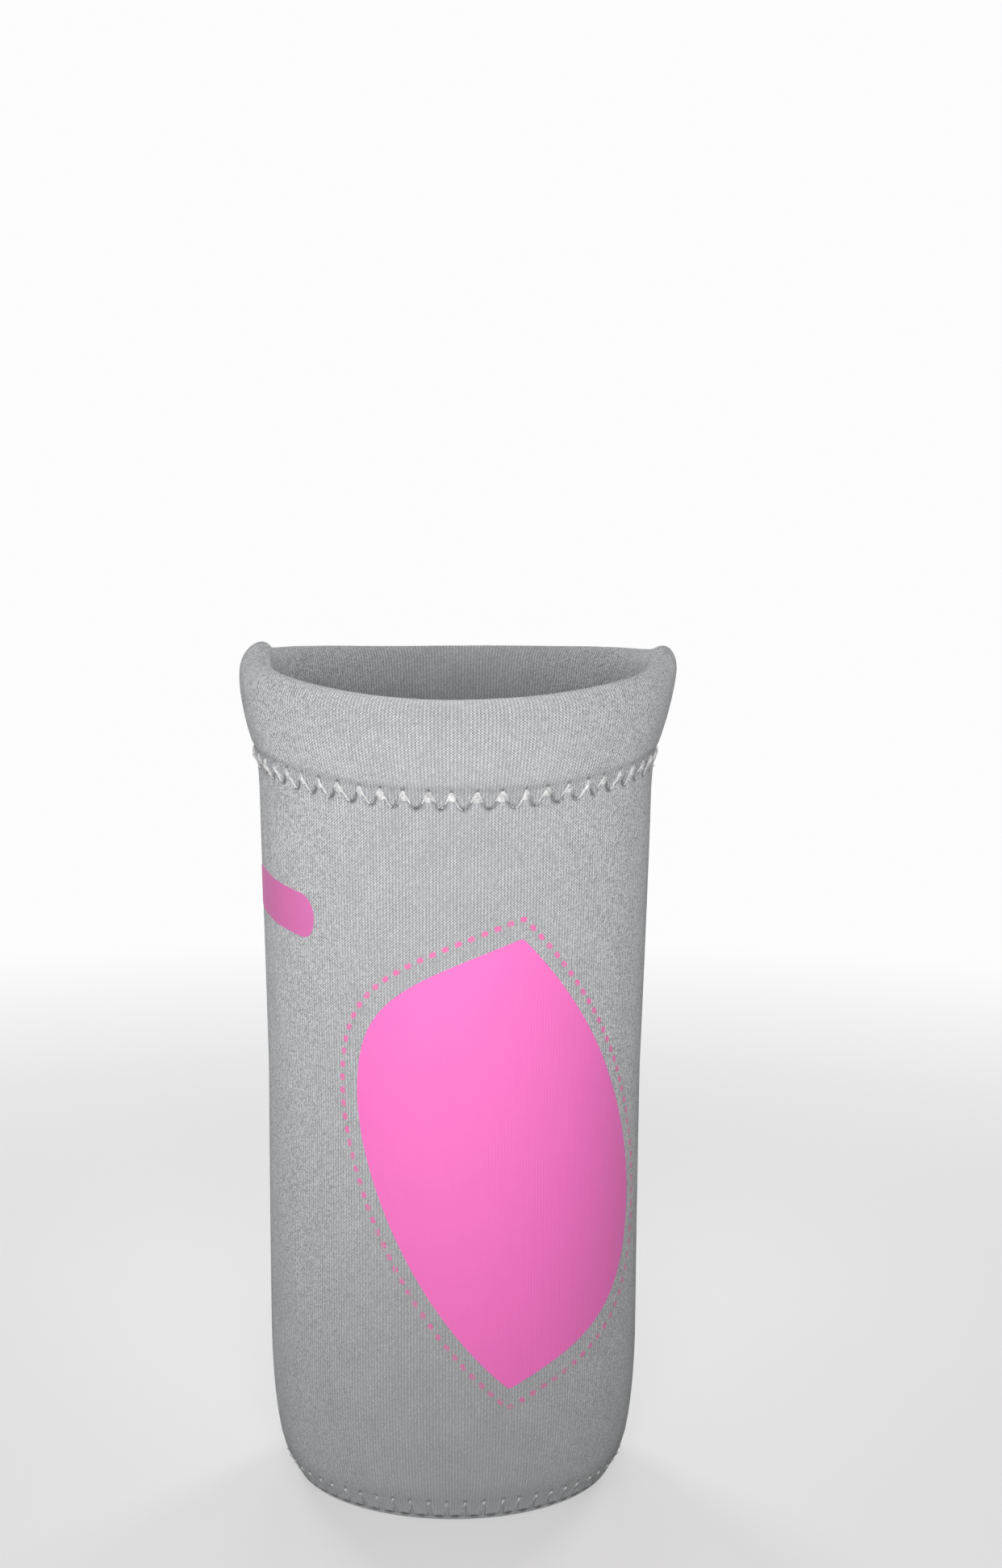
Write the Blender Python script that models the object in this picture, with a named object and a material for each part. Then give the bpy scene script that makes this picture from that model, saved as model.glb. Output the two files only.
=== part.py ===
"""Bottle cooler sleeve, sewn from knit-faced foam rubber.

Two half panels are joined at the sides and sewn to a round base. Every cut piece is a laminate: an
outer knit, a foam core and a lining, each modelled as its own solid. The top edge is folded inwards
and held by a zigzag seam. Units are metres, +Z is up, the origin is under the middle of the base,
and the front panel faces -Y.
"""

import math

import bmesh
import bpy

MM = 0.001

# Laminate, from the outside inwards
KNIT_THICKNESS = 0.35 * MM
FOAM_THICKNESS = 0.9 * MM
LINING_THICKNESS = 0.35 * MM
NEIGHBOUR_GAP = 0.3 * MM  # free space between two pieces that touch

# Body, on its outer face
BODY_RADIUS = 39.1 * MM  # where the rounded lower corner has become upright
CORNER_TOP_HEIGHT = 33.0 * MM
WAIST_FLARE = 0.2 * MM  # how far the body widens past BODY_RADIUS up to each of these places
NECK_FLARE = 1.3 * MM
STITCH_FLARE = 1.8 * MM
RIM_FLARE = 5.9 * MM
WAIST_HEIGHT = 88.0 * MM
RIM_HEIGHT = 170.8 * MM  # the crest of the folded hem, at the front and the back
BULGE_ROUNDNESS = 0.55  # from 0, a straight cone from the hem seam to the rim, to 1, a sine curve
HEM_RISE = 3.1 * MM  # how much higher the whole hem is at the side seams
HEM_RISE_LENGTH = 19.0 * MM  # the part of the body, below the hem seam, that is drawn up with it
HEM_RISE_POWER = 2.2  # how closely that rise keeps to the side seams
EAR_RISE = 2.6 * MM  # how far the rim alone peaks further up right at the side seams
EAR_RISE_POWER = 24

# Base disc, on its outer face
CORNER_DRAW_IN = 5.0 * MM  # from the body in to the base seam
BASE_ROUND = 2.8 * MM  # from the base seam in to the flat underside
BASE_SEAM_HEIGHT = 3.2 * MM

# Hem: the laminate turns over at the rim, and its free flap hangs inside
HEM_DEPTH = 19.9 * MM  # from the rim down to the seam that holds the flap
NECK_DROP = 5.0 * MM  # from that seam down to where the body stops widening
FOLD_HOLLOW = 2.0 * MM  # free space across the loop of the fold
FOLD_INNER_RADIUS = 0.43 * MM  # of the lining, inside the crest
PLY_GAP = 0.4 * MM  # between the two plies where the seam pulls them together
FLAP_TAIL = 4.0 * MM  # raw edge below the seam
FLAP_TAIL_LEAN = 0.4 * MM

# Threads
THREAD_DIAMETER = 0.5 * MM
HEM_STITCH_PITCH = 4.76 * MM
HEM_STITCH_REACH = 1.6 * MM  # up and down from the seam line
BASE_STITCH_PITCH = 3.63 * MM
BASE_STITCH_ON_DISC = 1.0 * MM
BASE_STITCH_ON_PANELS = 2.4 * MM
SIDE_STITCH_PITCH = 5.0 * MM
SIDE_STITCH_REACH = 1.3 * MM

# Prints: thin transfer films. Across is measured round the body, from its front middle to the right
FILM_THICKNESS = 0.2 * MM
LEAF_HALF_WIDTH = 32.6 * MM
LEAF_HALF_HEIGHT = 46.1 * MM
LEAF_ACROSS = 12.4 * MM
LEAF_SINK = 0.75 * MM  # below the middle between the two seams
PILL_LENGTH = 28.5 * MM
PILL_WIDTH = 8.9 * MM
PILL_CORNER_RADIUS = 3.2 * MM
PILL_FROM_SIDE_SEAM = 2.2 * MM
PILL_DROP = 24.9 * MM  # from the hem seam down to the middle of the pill
PILL_SLANT = math.radians(-6.0)

# One half of the leaf, from its top corner down to its bottom corner, in shares of its half sizes
LEAF_UPPER_SHARES = ((0.035, 1.0), (-0.566, 0.872), (-1.0, 0.70), (-1.0, 0.373))
LEAF_LOWER_SHARES = ((-1.0, 0.373), (-1.0, 0.026), (-0.53, -0.67), (-0.035, -1.0))

# Smoothness
PANEL_STEPS = 14
CORNER_STEPS = 4
BULGE_STEPS = 3
FOLD_STEPS = 6
BASE_CORNER_STEPS = 3
LEAF_CURVE_STEPS = 6
PILL_CORNER_STEPS = 4
THREAD_ROUNDNESS = 1

LAMINATE_THICKNESS = KNIT_THICKNESS + FOAM_THICKNESS + LINING_THICKNESS + 2 * NEIGHBOUR_GAP
BASE_SEAM_RADIUS = BODY_RADIUS - CORNER_DRAW_IN
BASE_FLAT_RADIUS = BASE_SEAM_RADIUS - BASE_ROUND
WAIST_RADIUS = BODY_RADIUS + WAIST_FLARE
NECK_RADIUS = BODY_RADIUS + NECK_FLARE
STITCH_RADIUS = BODY_RADIUS + STITCH_FLARE
RIM_RADIUS = BODY_RADIUS + RIM_FLARE
FOLD_WIDTH = 2 * LAMINATE_THICKNESS + FOLD_HOLLOW
FOLD_HEIGHT = (FOLD_WIDTH / 2) ** 2 / (LAMINATE_THICKNESS + FOLD_INNER_RADIUS)
STITCH_HEIGHT = RIM_HEIGHT - HEM_DEPTH
NECK_HEIGHT = STITCH_HEIGHT - NECK_DROP
FLAP_RADIUS = STITCH_RADIUS - 2 * LAMINATE_THICKNESS - PLY_GAP
FLAP_END_RADIUS = FLAP_RADIUS - FLAP_TAIL_LEAN
LEAF_HEIGHT = (BASE_SEAM_HEIGHT + STITCH_HEIGHT) / 2 - LEAF_SINK
QUARTER_TURN = math.pi / 2
FACET_FLATNESS = math.cos(QUARTER_TURN / PANEL_STEPS)  # how far a facet's middle falls short
FRONT = -QUARTER_TURN

# How deep each layer starts and ends below the outer face
KNIT_DEPTHS = (0.0, KNIT_THICKNESS)
FOAM_DEPTHS = (KNIT_THICKNESS + NEIGHBOUR_GAP, KNIT_THICKNESS + NEIGHBOUR_GAP + FOAM_THICKNESS)
LINING_DEPTHS = (LAMINATE_THICKNESS - LINING_THICKNESS, LAMINATE_THICKNESS)


def quarter(share):
    """Sine and cosine of a share of a quarter turn."""
    return math.sin(share * QUARTER_TURN), math.cos(share * QUARTER_TURN)


def base_path():
    """Outer face of the base, from its middle out to the seam, as (radius, height) points."""
    points = [(0.0, 0.0), (BASE_FLAT_RADIUS, 0.0)]
    for step in range(1, BASE_CORNER_STEPS + 1):
        sine, cosine = quarter(step / BASE_CORNER_STEPS)
        radius = BASE_FLAT_RADIUS + (BASE_SEAM_RADIUS - BASE_FLAT_RADIUS) * sine
        points.append((radius, (BASE_SEAM_HEIGHT - NEIGHBOUR_GAP / 2) * (1 - cosine)))
    return points


def outside_path():
    """Outer face of a panel, from the base seam up to the widest place of the rim."""
    start_radius = BASE_SEAM_RADIUS + NEIGHBOUR_GAP / 2
    start_height = BASE_SEAM_HEIGHT + NEIGHBOUR_GAP / 2
    points = []
    for step in range(CORNER_STEPS + 1):
        sine, cosine = quarter(step / CORNER_STEPS)
        radius = start_radius + (BODY_RADIUS - start_radius) * sine
        points.append((radius, start_height + (CORNER_TOP_HEIGHT - start_height) * (1 - cosine)))
    points.append((WAIST_RADIUS, WAIST_HEIGHT))
    points.append((NECK_RADIUS, NECK_HEIGHT))
    bulge_height = RIM_HEIGHT - FOLD_HEIGHT - STITCH_HEIGHT
    for step in range(BULGE_STEPS + 1):
        share = step / BULGE_STEPS
        sine, _ = quarter(share)
        swell = share + BULGE_ROUNDNESS * (sine - share)
        radius = STITCH_RADIUS + (RIM_RADIUS - STITCH_RADIUS) * swell
        points.append((radius, STITCH_HEIGHT + bulge_height * share))
    return points


def panel_path():
    """Outer face of a panel, from the base seam over the rim and down to the flap's raw edge."""
    points = outside_path()
    middle = RIM_RADIUS - FOLD_WIDTH / 2
    for step in range(1, FOLD_STEPS + 1):
        angle = math.pi * step / FOLD_STEPS
        radius = middle + FOLD_WIDTH / 2 * math.cos(angle)
        points.append((radius, RIM_HEIGHT - FOLD_HEIGHT * (1 - math.sin(angle))))
    points.append((FLAP_RADIUS, STITCH_HEIGHT))
    points.append((FLAP_END_RADIUS, STITCH_HEIGHT - FLAP_TAIL))
    return points


def sunk(path, depth):
    """The path moved into the material by a depth, square to each of its runs."""
    normals = []
    for (radius, height), (next_radius, next_height) in zip(path, path[1:]):
        length = math.hypot(next_radius - radius, next_height - height)
        normals.append(((next_height - height) / length, (radius - next_radius) / length))
    moved = []
    for index, (radius, height) in enumerate(path):
        before = normals[max(index - 1, 0)]
        after = normals[min(index, len(normals) - 1)]
        stretch = depth / (1 + before[0] * after[0] + before[1] * after[1])
        moved.append((radius - stretch * (before[0] + after[0]), height - stretch * (before[1] + after[1])))
    return moved


def radius_at(path, height):
    """Radius of a rising path at a height."""
    for (radius, low), (next_radius, high) in zip(path, path[1:]):
        if low <= height <= high:
            return radius + (next_radius - radius) * (height - low) / (high - low)
    raise ValueError("height is off the path")


def clamped(share):
    """A share kept from 0 to 1."""
    return min(max(share, 0.0), 1.0)


def raised(height, angle):
    """A height on the body after the hem has been lifted towards both side seams."""
    nearness = abs(math.cos(angle))
    drawn = clamped((height - STITCH_HEIGHT) / HEM_RISE_LENGTH + 1)
    eased = drawn * drawn * (3 - 2 * drawn)
    up_hem = clamped((height - STITCH_HEIGHT) / HEM_DEPTH)
    ear = EAR_RISE * nearness**EAR_RISE_POWER * up_hem**2
    return height + HEM_RISE * nearness**HEM_RISE_POWER * eased + ear


def place(radius, angle, height):
    """The point at a radius, an angle from +X and a height."""
    return radius * math.cos(angle), radius * math.sin(angle), height


def seam_half_angle():
    """Half of the angle that a side seam leaves open between the two panels."""
    return math.asin(NEIGHBOUR_GAP / 2 / FLAP_END_RADIUS)


def make_material(name, colour, roughness):
    """A Principled material."""
    material = bpy.data.materials.new(name)
    material.use_nodes = True
    shader = material.node_tree.nodes["Principled BSDF"]
    shader.inputs["Base Color"].default_value = (*colour, 1.0)
    shader.inputs["Roughness"].default_value = roughness
    material.diffuse_color = (*colour, 1.0)
    return material


def add_mesh(collection, name, shape, material, smooth_angle=math.radians(40)):
    """Turn a bmesh into a named object with smooth faces."""
    bmesh.ops.recalc_face_normals(shape, faces=shape.faces)
    mesh = bpy.data.meshes.new(name)
    shape.to_mesh(mesh)
    shape.free()
    mesh.shade_smooth()
    mesh.set_sharp_from_angle(angle=smooth_angle)
    mesh.materials.append(material)
    piece = bpy.data.objects.new(name, mesh)
    collection.objects.link(piece)
    return piece


def add_panel_layer(collection, name, start, depths, material):
    """One layer of a half panel: its section is spun from one side seam to the other."""
    path = panel_path()
    section = sunk(path, depths[0]) + sunk(path, depths[1])[::-1]
    first = start + seam_half_angle()
    shape = bmesh.new()
    corners = [shape.verts.new(place(radius, first, height)) for radius, height in section]
    shape.faces.new(corners)
    bmesh.ops.spin(
        shape,
        geom=shape.verts[:] + shape.edges[:] + shape.faces[:],
        cent=(0, 0, 0),
        axis=(0, 0, 1),
        angle=math.pi - 2 * seam_half_angle(),
        steps=PANEL_STEPS,
    )
    for vert in shape.verts:
        vert.co.z = raised(vert.co.z, math.atan2(vert.co.y, vert.co.x))
    return add_mesh(collection, name, shape, material)


def add_base_layer(collection, name, depths, material):
    """One layer of the base disc, turned about the middle."""
    path = base_path()
    section = sunk(path, depths[0]) + sunk(path, depths[1])[::-1]
    shape = bmesh.new()
    corners = [shape.verts.new(place(radius, 0, height)) for radius, height in section]
    for corner, following in zip(corners, corners[1:]):
        shape.edges.new((corner, following))
    bmesh.ops.spin(
        shape,
        geom=shape.verts[:] + shape.edges[:],
        cent=(0, 0, 0),
        axis=(0, 0, 1),
        angle=2 * math.pi,
        steps=2 * PANEL_STEPS,
        use_merge=True,
    )
    bmesh.ops.remove_doubles(shape, verts=shape.verts, dist=NEIGHBOUR_GAP / 100)
    return add_mesh(collection, name, shape, material)


def add_thread(collection, name, points, material, closed):
    """A thread through the points, as a thin round curve."""
    curve = bpy.data.curves.new(name, "CURVE")
    curve.dimensions = "3D"
    curve.bevel_depth = THREAD_DIAMETER / 2
    curve.bevel_resolution = THREAD_ROUNDNESS
    curve.use_fill_caps = not closed
    spline = curve.splines.new("POLY")
    spline.points.add(len(points) - 1)
    for spline_point, point in zip(spline.points, points):
        spline_point.co = (*point, 1.0)
    spline.use_cyclic_u = closed
    curve.materials.append(material)
    piece = bpy.data.objects.new(name, curve)
    collection.objects.link(piece)
    return piece


def thread_lift():
    """Distance of a thread's middle from the face that it lies on."""
    return NEIGHBOUR_GAP + THREAD_DIAMETER / 2


def hem_stitches(face_radius, lift):
    """Zigzag round the hem, lifted off a face whose radius is known at each height."""
    count = round(2 * math.pi * STITCH_RADIUS / HEM_STITCH_PITCH)
    points = []
    for step in range(2 * count):
        angle = math.pi * step / count
        side = 1 if step % 2 else -1
        height = STITCH_HEIGHT + side * HEM_STITCH_REACH
        points.append(place(face_radius(height) + lift, angle, raised(height, angle)))
    return points


def base_stitches():
    """Zigzag across the seam between the base and the panels."""
    base_end, base_before = base_path()[-1], base_path()[-2]
    panel_start, panel_next = outside_path()[:2]
    ends = []
    for near, far, reach in (
        (base_end, base_before, BASE_STITCH_ON_DISC),
        (panel_start, panel_next, BASE_STITCH_ON_PANELS),
    ):
        length = math.hypot(far[0] - near[0], far[1] - near[1])
        along = ((far[0] - near[0]) / length, (far[1] - near[1]) / length)
        outwards = (abs(along[1]), -abs(along[0]))
        end = [near[i] + reach * along[i] + thread_lift() * outwards[i] for i in (0, 1)]
        ends.append(end)
    count = round(2 * math.pi * BASE_SEAM_RADIUS / BASE_STITCH_PITCH)
    points = []
    for step in range(2 * count):
        radius, height = ends[step % 2]
        points.append(place(radius, math.pi * step / count, height))
    return points


def side_stitches(side):
    """Zigzag up the inside of a side seam: side is 1 at +X and -1 at -X."""
    inner = sunk(outside_path(), LAMINATE_THICKNESS)
    low = inner[1][1]
    high = STITCH_HEIGHT - FLAP_TAIL - LAMINATE_THICKNESS
    count = round((high - low) / SIDE_STITCH_PITCH)
    points = []
    for step in range(2 * count + 1):
        height = low + (high - low) * step / (2 * count)
        across = radius_at(inner, height) * FACET_FLATNESS - thread_lift()
        sway = SIDE_STITCH_REACH if step % 2 else -SIDE_STITCH_REACH
        points.append((side * across, sway, raised(height, 0)))
    return points


def curve_through(shares, steps):
    """Points along a cubic curve, without its last, from its four control shares."""
    points = []
    for step in range(steps):
        t = step / steps
        weights = ((1 - t) ** 3, 3 * t * (1 - t) ** 2, 3 * t * t * (1 - t), t**3)
        points.append(tuple(sum(w * share[i] for w, share in zip(weights, shares)) for i in range(2)))
    return points


def leaf_outline():
    """The leaf: pointed at top and bottom, and the same when turned half round."""
    half = curve_through(LEAF_UPPER_SHARES, LEAF_CURVE_STEPS)
    half += curve_through(LEAF_LOWER_SHARES, LEAF_CURVE_STEPS)
    whole = half + [(-across, -up) for across, up in half]
    return [(LEAF_ACROSS + x * LEAF_HALF_WIDTH, LEAF_HEIGHT + y * LEAF_HALF_HEIGHT) for x, y in whole]


def pill_outline():
    """The pill: a bar with well rounded corners, a little slanted."""
    far = PILL_LENGTH / 2 - PILL_CORNER_RADIUS
    up = PILL_WIDTH / 2 - PILL_CORNER_RADIUS
    points = []
    for corner, (x, y) in enumerate(((far, up), (-far, up), (-far, -up), (far, -up))):
        for step in range(PILL_CORNER_STEPS + 1):
            sine, cosine = quarter(corner + step / PILL_CORNER_STEPS)
            points.append((x + PILL_CORNER_RADIUS * cosine, y + PILL_CORNER_RADIUS * sine))
    sine, cosine = math.sin(PILL_SLANT), math.cos(PILL_SLANT)
    across = PILL_FROM_SIDE_SEAM + PILL_LENGTH / 2 - QUARTER_TURN * WAIST_RADIUS
    height = STITCH_HEIGHT - PILL_DROP
    return [(across + x * cosine - y * sine, height + x * sine + y * cosine) for x, y in points]


def add_film(collection, name, outline, material):
    """A thin film on the front panel, cut to an outline and bent with the panel's facets."""
    shape = bmesh.new()
    shape.faces.new([shape.verts.new((across, 0, up)) for across, up in outline])
    first = -math.pi + seam_half_angle()
    turn = (math.pi - 2 * seam_half_angle()) / PANEL_STEPS
    for step in range(1, PANEL_STEPS):
        fold = (first + step * turn - FRONT) * WAIST_RADIUS
        geometry = shape.verts[:] + shape.edges[:] + shape.faces[:]
        bmesh.ops.bisect_plane(shape, geom=geometry, plane_co=(fold, 0, 0), plane_no=(1, 0, 0))
    for _, bend in outside_path():
        geometry = shape.verts[:] + shape.edges[:] + shape.faces[:]
        bmesh.ops.bisect_plane(shape, geom=geometry, plane_co=(0, 0, bend), plane_no=(0, 0, 1))
    bmesh.ops.triangulate(shape, faces=shape.faces[:])
    lifted = bmesh.ops.extrude_face_region(shape, geom=shape.faces[:])["geom"]
    for item in lifted:
        if isinstance(item, bmesh.types.BMVert):
            item.co.y = FILM_THICKNESS
    for vert in shape.verts:
        across, depth, height = vert.co
        angle = FRONT + across / WAIST_RADIUS
        in_facet = (angle - first) % turn - turn / 2
        radius = radius_at(outside_path(), height) + NEIGHBOUR_GAP + depth
        flattened = radius * FACET_FLATNESS / math.cos(in_facet)
        vert.co = place(flattened, angle, raised(height, angle))
    return add_mesh(collection, name, shape, material)


def clear_scene():
    """Remove what the file opened with."""
    for item in list(bpy.data.objects):
        bpy.data.objects.remove(item)


def build():
    """Make every piece of the sleeve."""
    clear_scene()
    collection = bpy.data.collections.new("bottle_cooler_sleeve")
    bpy.context.scene.collection.children.link(collection)

    knit = make_material("grey_knit", (0.52, 0.53, 0.55), 0.85)
    foam = make_material("black_foam_rubber", (0.02, 0.02, 0.022), 0.9)
    lining = make_material("dark_lining_knit", (0.035, 0.036, 0.04), 0.85)
    thread = make_material("pale_thread", (0.62, 0.62, 0.65), 0.5)
    leaf_film = make_material("pink_film", (0.98, 0.22, 0.62), 0.45)
    pill_film = make_material("magenta_film", (0.68, 0.11, 0.40), 0.45)

    for layer, depths, material in (
        ("knit", KNIT_DEPTHS, knit),
        ("foam", FOAM_DEPTHS, foam),
        ("lining", LINING_DEPTHS, lining),
    ):
        add_panel_layer(collection, f"front_{layer}", -math.pi, depths, material)
        add_panel_layer(collection, f"back_{layer}", 0.0, depths, material)
        add_base_layer(collection, f"base_{layer}", depths, material)

    outside = outside_path()
    add_thread(
        collection,
        "hem_thread_outside",
        hem_stitches(lambda height: radius_at(outside, height), thread_lift()),
        thread,
        True,
    )
    flap = sorted(panel_path()[-3:], key=lambda point: point[1])
    add_thread(
        collection,
        "hem_thread_inside",
        hem_stitches(lambda height: radius_at(flap, height) * FACET_FLATNESS, -thread_lift()),
        thread,
        True,
    )
    add_thread(collection, "base_seam_thread", base_stitches(), thread, True)
    add_thread(collection, "right_seam_thread", side_stitches(1), thread, False)
    add_thread(collection, "left_seam_thread", side_stitches(-1), thread, False)

    add_film(collection, "leaf_print", leaf_outline(), leaf_film)
    add_film(collection, "pill_print", pill_outline(), pill_film)


build()
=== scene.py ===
"""Looks of a knit-faced foam rubber sleeve that keeps a bottle cool.

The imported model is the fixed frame. Every cloth, core, thread and print of it is replaced here by a
finer piece in the same place, and dressed with its own finish. All sizes are metres, +Z is up.
"""

import logging
import math
from dataclasses import dataclass
from enum import Enum
from typing import Optional, Sequence, Union

import bmesh
import bpy
import numpy as np
from mathutils import Euler, Matrix, Vector


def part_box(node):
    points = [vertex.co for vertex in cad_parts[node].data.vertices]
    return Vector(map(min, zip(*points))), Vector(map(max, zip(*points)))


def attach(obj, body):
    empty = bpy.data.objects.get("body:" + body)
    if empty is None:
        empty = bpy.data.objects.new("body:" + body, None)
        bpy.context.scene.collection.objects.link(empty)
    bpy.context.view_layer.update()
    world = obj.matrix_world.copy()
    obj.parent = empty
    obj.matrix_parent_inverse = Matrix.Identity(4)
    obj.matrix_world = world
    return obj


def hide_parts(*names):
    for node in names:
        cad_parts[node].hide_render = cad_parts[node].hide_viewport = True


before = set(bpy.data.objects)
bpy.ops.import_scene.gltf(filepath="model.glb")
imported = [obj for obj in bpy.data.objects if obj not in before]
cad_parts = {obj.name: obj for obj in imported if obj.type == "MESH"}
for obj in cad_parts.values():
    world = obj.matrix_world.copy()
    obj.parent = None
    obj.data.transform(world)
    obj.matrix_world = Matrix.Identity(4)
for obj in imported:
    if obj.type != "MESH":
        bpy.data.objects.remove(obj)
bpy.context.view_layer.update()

MM = 0.001
FRONT_ANGLE = -math.pi / 2
SHARP_ANGLE = math.radians(50)
WALE = 0.65 * MM
COURSE = 0.55 * MM
LOG = logging.getLogger("sleeve")

Array = np.ndarray
Point = tuple[float, float]
Colour = tuple[float, float, float]
Material = bpy.types.Material


def bell(place: Array, width: float, power: int = 2) -> Array:
    """A hill that is 1 where place is 0 and falls away over a width."""
    return np.exp(-((place / width) ** power))


def ripples(angle: Array, *waves: tuple[int, float, float]) -> Array:
    """Sum of waves, each with its number in one turn, its start and its height."""
    return sum(height * np.sin(number * angle + start) for number, start, height in waves)


def run_lengths(points: Array) -> Array:
    """Distance along a line of points at each of them."""
    return np.concatenate([[0.0], np.cumsum(np.linalg.norm(np.diff(points, axis=0), axis=1))])


def rows_at(wanted: Array, known: Array, table: Array) -> Array:
    """Rows of a table at wanted places, from its two columns at known ones."""
    return np.stack([np.interp(wanted, known, table[:, i]) for i in range(2)], axis=1)


def spaced(start: float, end: float, step: float) -> list[float]:
    """Even places from start to end, both included, at most a step apart."""
    count = max(1, math.ceil(abs(end - start) / step))
    return [start + (end - start) * i / count for i in range(count + 1)]


class Half(Enum):
    """The two half panels, each with the angle at which it starts."""

    FRONT = -math.pi
    BACK = 0.0

    @property
    def label(self) -> str:
        """The word that its pieces' names start with."""
        return self.name.lower()


class Layer(Enum):
    """The layers of the laminate, from the outside inwards."""

    KNIT = "knit"
    FOAM = "foam"
    LINING = "lining"


@dataclass(frozen=True)
class Laminate:
    """Thicknesses of the bonded cloth and foam."""

    knit: float = 0.35 * MM
    foam: float = 0.9 * MM
    lining: float = 0.35 * MM
    gap: float = 0.3 * MM

    @property
    def total(self) -> float:
        """Thickness of all three layers with the gaps between them."""
        return self.knit + self.foam + self.lining + 2 * self.gap

    def depths(self, layer: Layer) -> Point:
        """How deep a layer starts and ends below the outer face.

        Args:
            layer: The layer.

        Returns:
            Depth of its outer and of its inner face.
        """
        if layer is Layer.KNIT:
            return 0.0, self.knit
        if layer is Layer.FOAM:
            return self.knit + self.gap, self.knit + self.gap + self.foam
        return self.total - self.lining, self.total


@dataclass(frozen=True)
class StitchRow:
    """A zigzag seam that runs round the sleeve.

    Attributes:
        count: Zigzags in one turn.
        start: Angle of one peak from the front middle, in degrees.
        reach: Distance of the needle holes from the seam line, up and down.
        groove: How deep the thread pulls the cloth in.
        puff: How far the cloth swells inside each zigzag.
        width: Width of the groove on each side of the thread.
        notch: Half width of the lower needle holes, which are pulled open.
        bell_share: How far the legs stand from the peak, as a share of the way to the valley.
        lean_share: How soon, from the middle to the sides, a leg turns into the light.
    """

    count: int
    start: float
    reach: float
    groove: float
    puff: float
    width: float
    notch: float
    bell_share: float
    lean_share: float = 1.6

    def from_peak(self, angle: Array) -> Array:
        """Place between a peak, at 0, and the valleys beside it, at 1 and -1.

        Args:
            angle: Angles from +X.

        Returns:
            One value for each angle; the stitches are a little uneven, as sewn ones are.
        """
        turn = angle - FRONT_ANGLE - math.radians(self.start)
        uneven = ripples(angle, (7, 0.8, 0.2), (17, 2.0, 0.2), (31, 0.0, 0.15)) - 0.2
        return np.mod((turn * self.count + uneven) / math.pi + 1.0, 2.0) - 1.0

    def lit_share(self, angle: Array) -> Array:
        """How far a leg leans towards the front, from 1 to -1 at the sides and 0 in the middle."""
        return np.clip(-self.lean_share * np.cos(angle), -1.0, 1.0) * np.sign(self.from_peak(angle))

    def height(self, from_peak: Array) -> Array:
        """Height of the thread, from -1 in a valley to 1 on a rounded peak."""
        return 2.0 * bell(from_peak, self.bell_share) - 1.0

    def slope(self, from_peak: Array) -> Array:
        """How fast that height falls, never negative."""
        return (self.height(from_peak) + 1.0) * 2.0 * np.abs(from_peak) / self.bell_share**2


@dataclass(frozen=True)
class SewnRow:
    """A row of stitches in its place on the sleeve.

    Attributes:
        row: Its stitches.
        middle: Distance of its seam line along the sleeve's line.
        radius: Radius of the seam line.
        strength: How strongly it marks the cloth.
        upper_level: Height of the upper needle holes, in reaches.
        lower_level: Height of the lower ones.
        hole_width: Half width of the upper holes, which stay small and round.
        hole_height: Half height of all holes.
    """

    row: StitchRow
    middle: float
    radius: float
    strength: float
    upper_level: float = 1.2
    lower_level: float = -1.0
    hole_width: float = 0.3 * MM
    hole_height: float = 0.33 * MM

    def near(self, angle: Array, along: Array) -> tuple[Array, Array, Array, Array]:
        """Where places lie in a stitch.

        Args:
            angle: Angles from +X.
            along: Distances along the sleeve's line.

        Returns:
            Place between peak and valley, height in reaches, distance from the thread, and nearness to
            a needle hole.
        """
        row = self.row
        aside = row.from_peak(angle)
        height = (along - self.middle) / row.reach
        half_pitch = math.pi * self.radius / row.count
        slope = row.slope(aside) * row.reach / half_pitch
        distance = np.abs(height - row.height(aside)) * row.reach / np.sqrt(1.0 + slope * slope)
        upper = (aside, self.upper_level, self.hole_width)
        lower = (1.0 - np.abs(aside), self.lower_level, row.notch)
        holes = np.zeros_like(aside)
        for across, level, wide in (upper, lower):
            holes += bell(across * half_pitch, wide) * bell((height - level) * row.reach, self.hole_height)
        return aside, height, distance, holes


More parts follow.
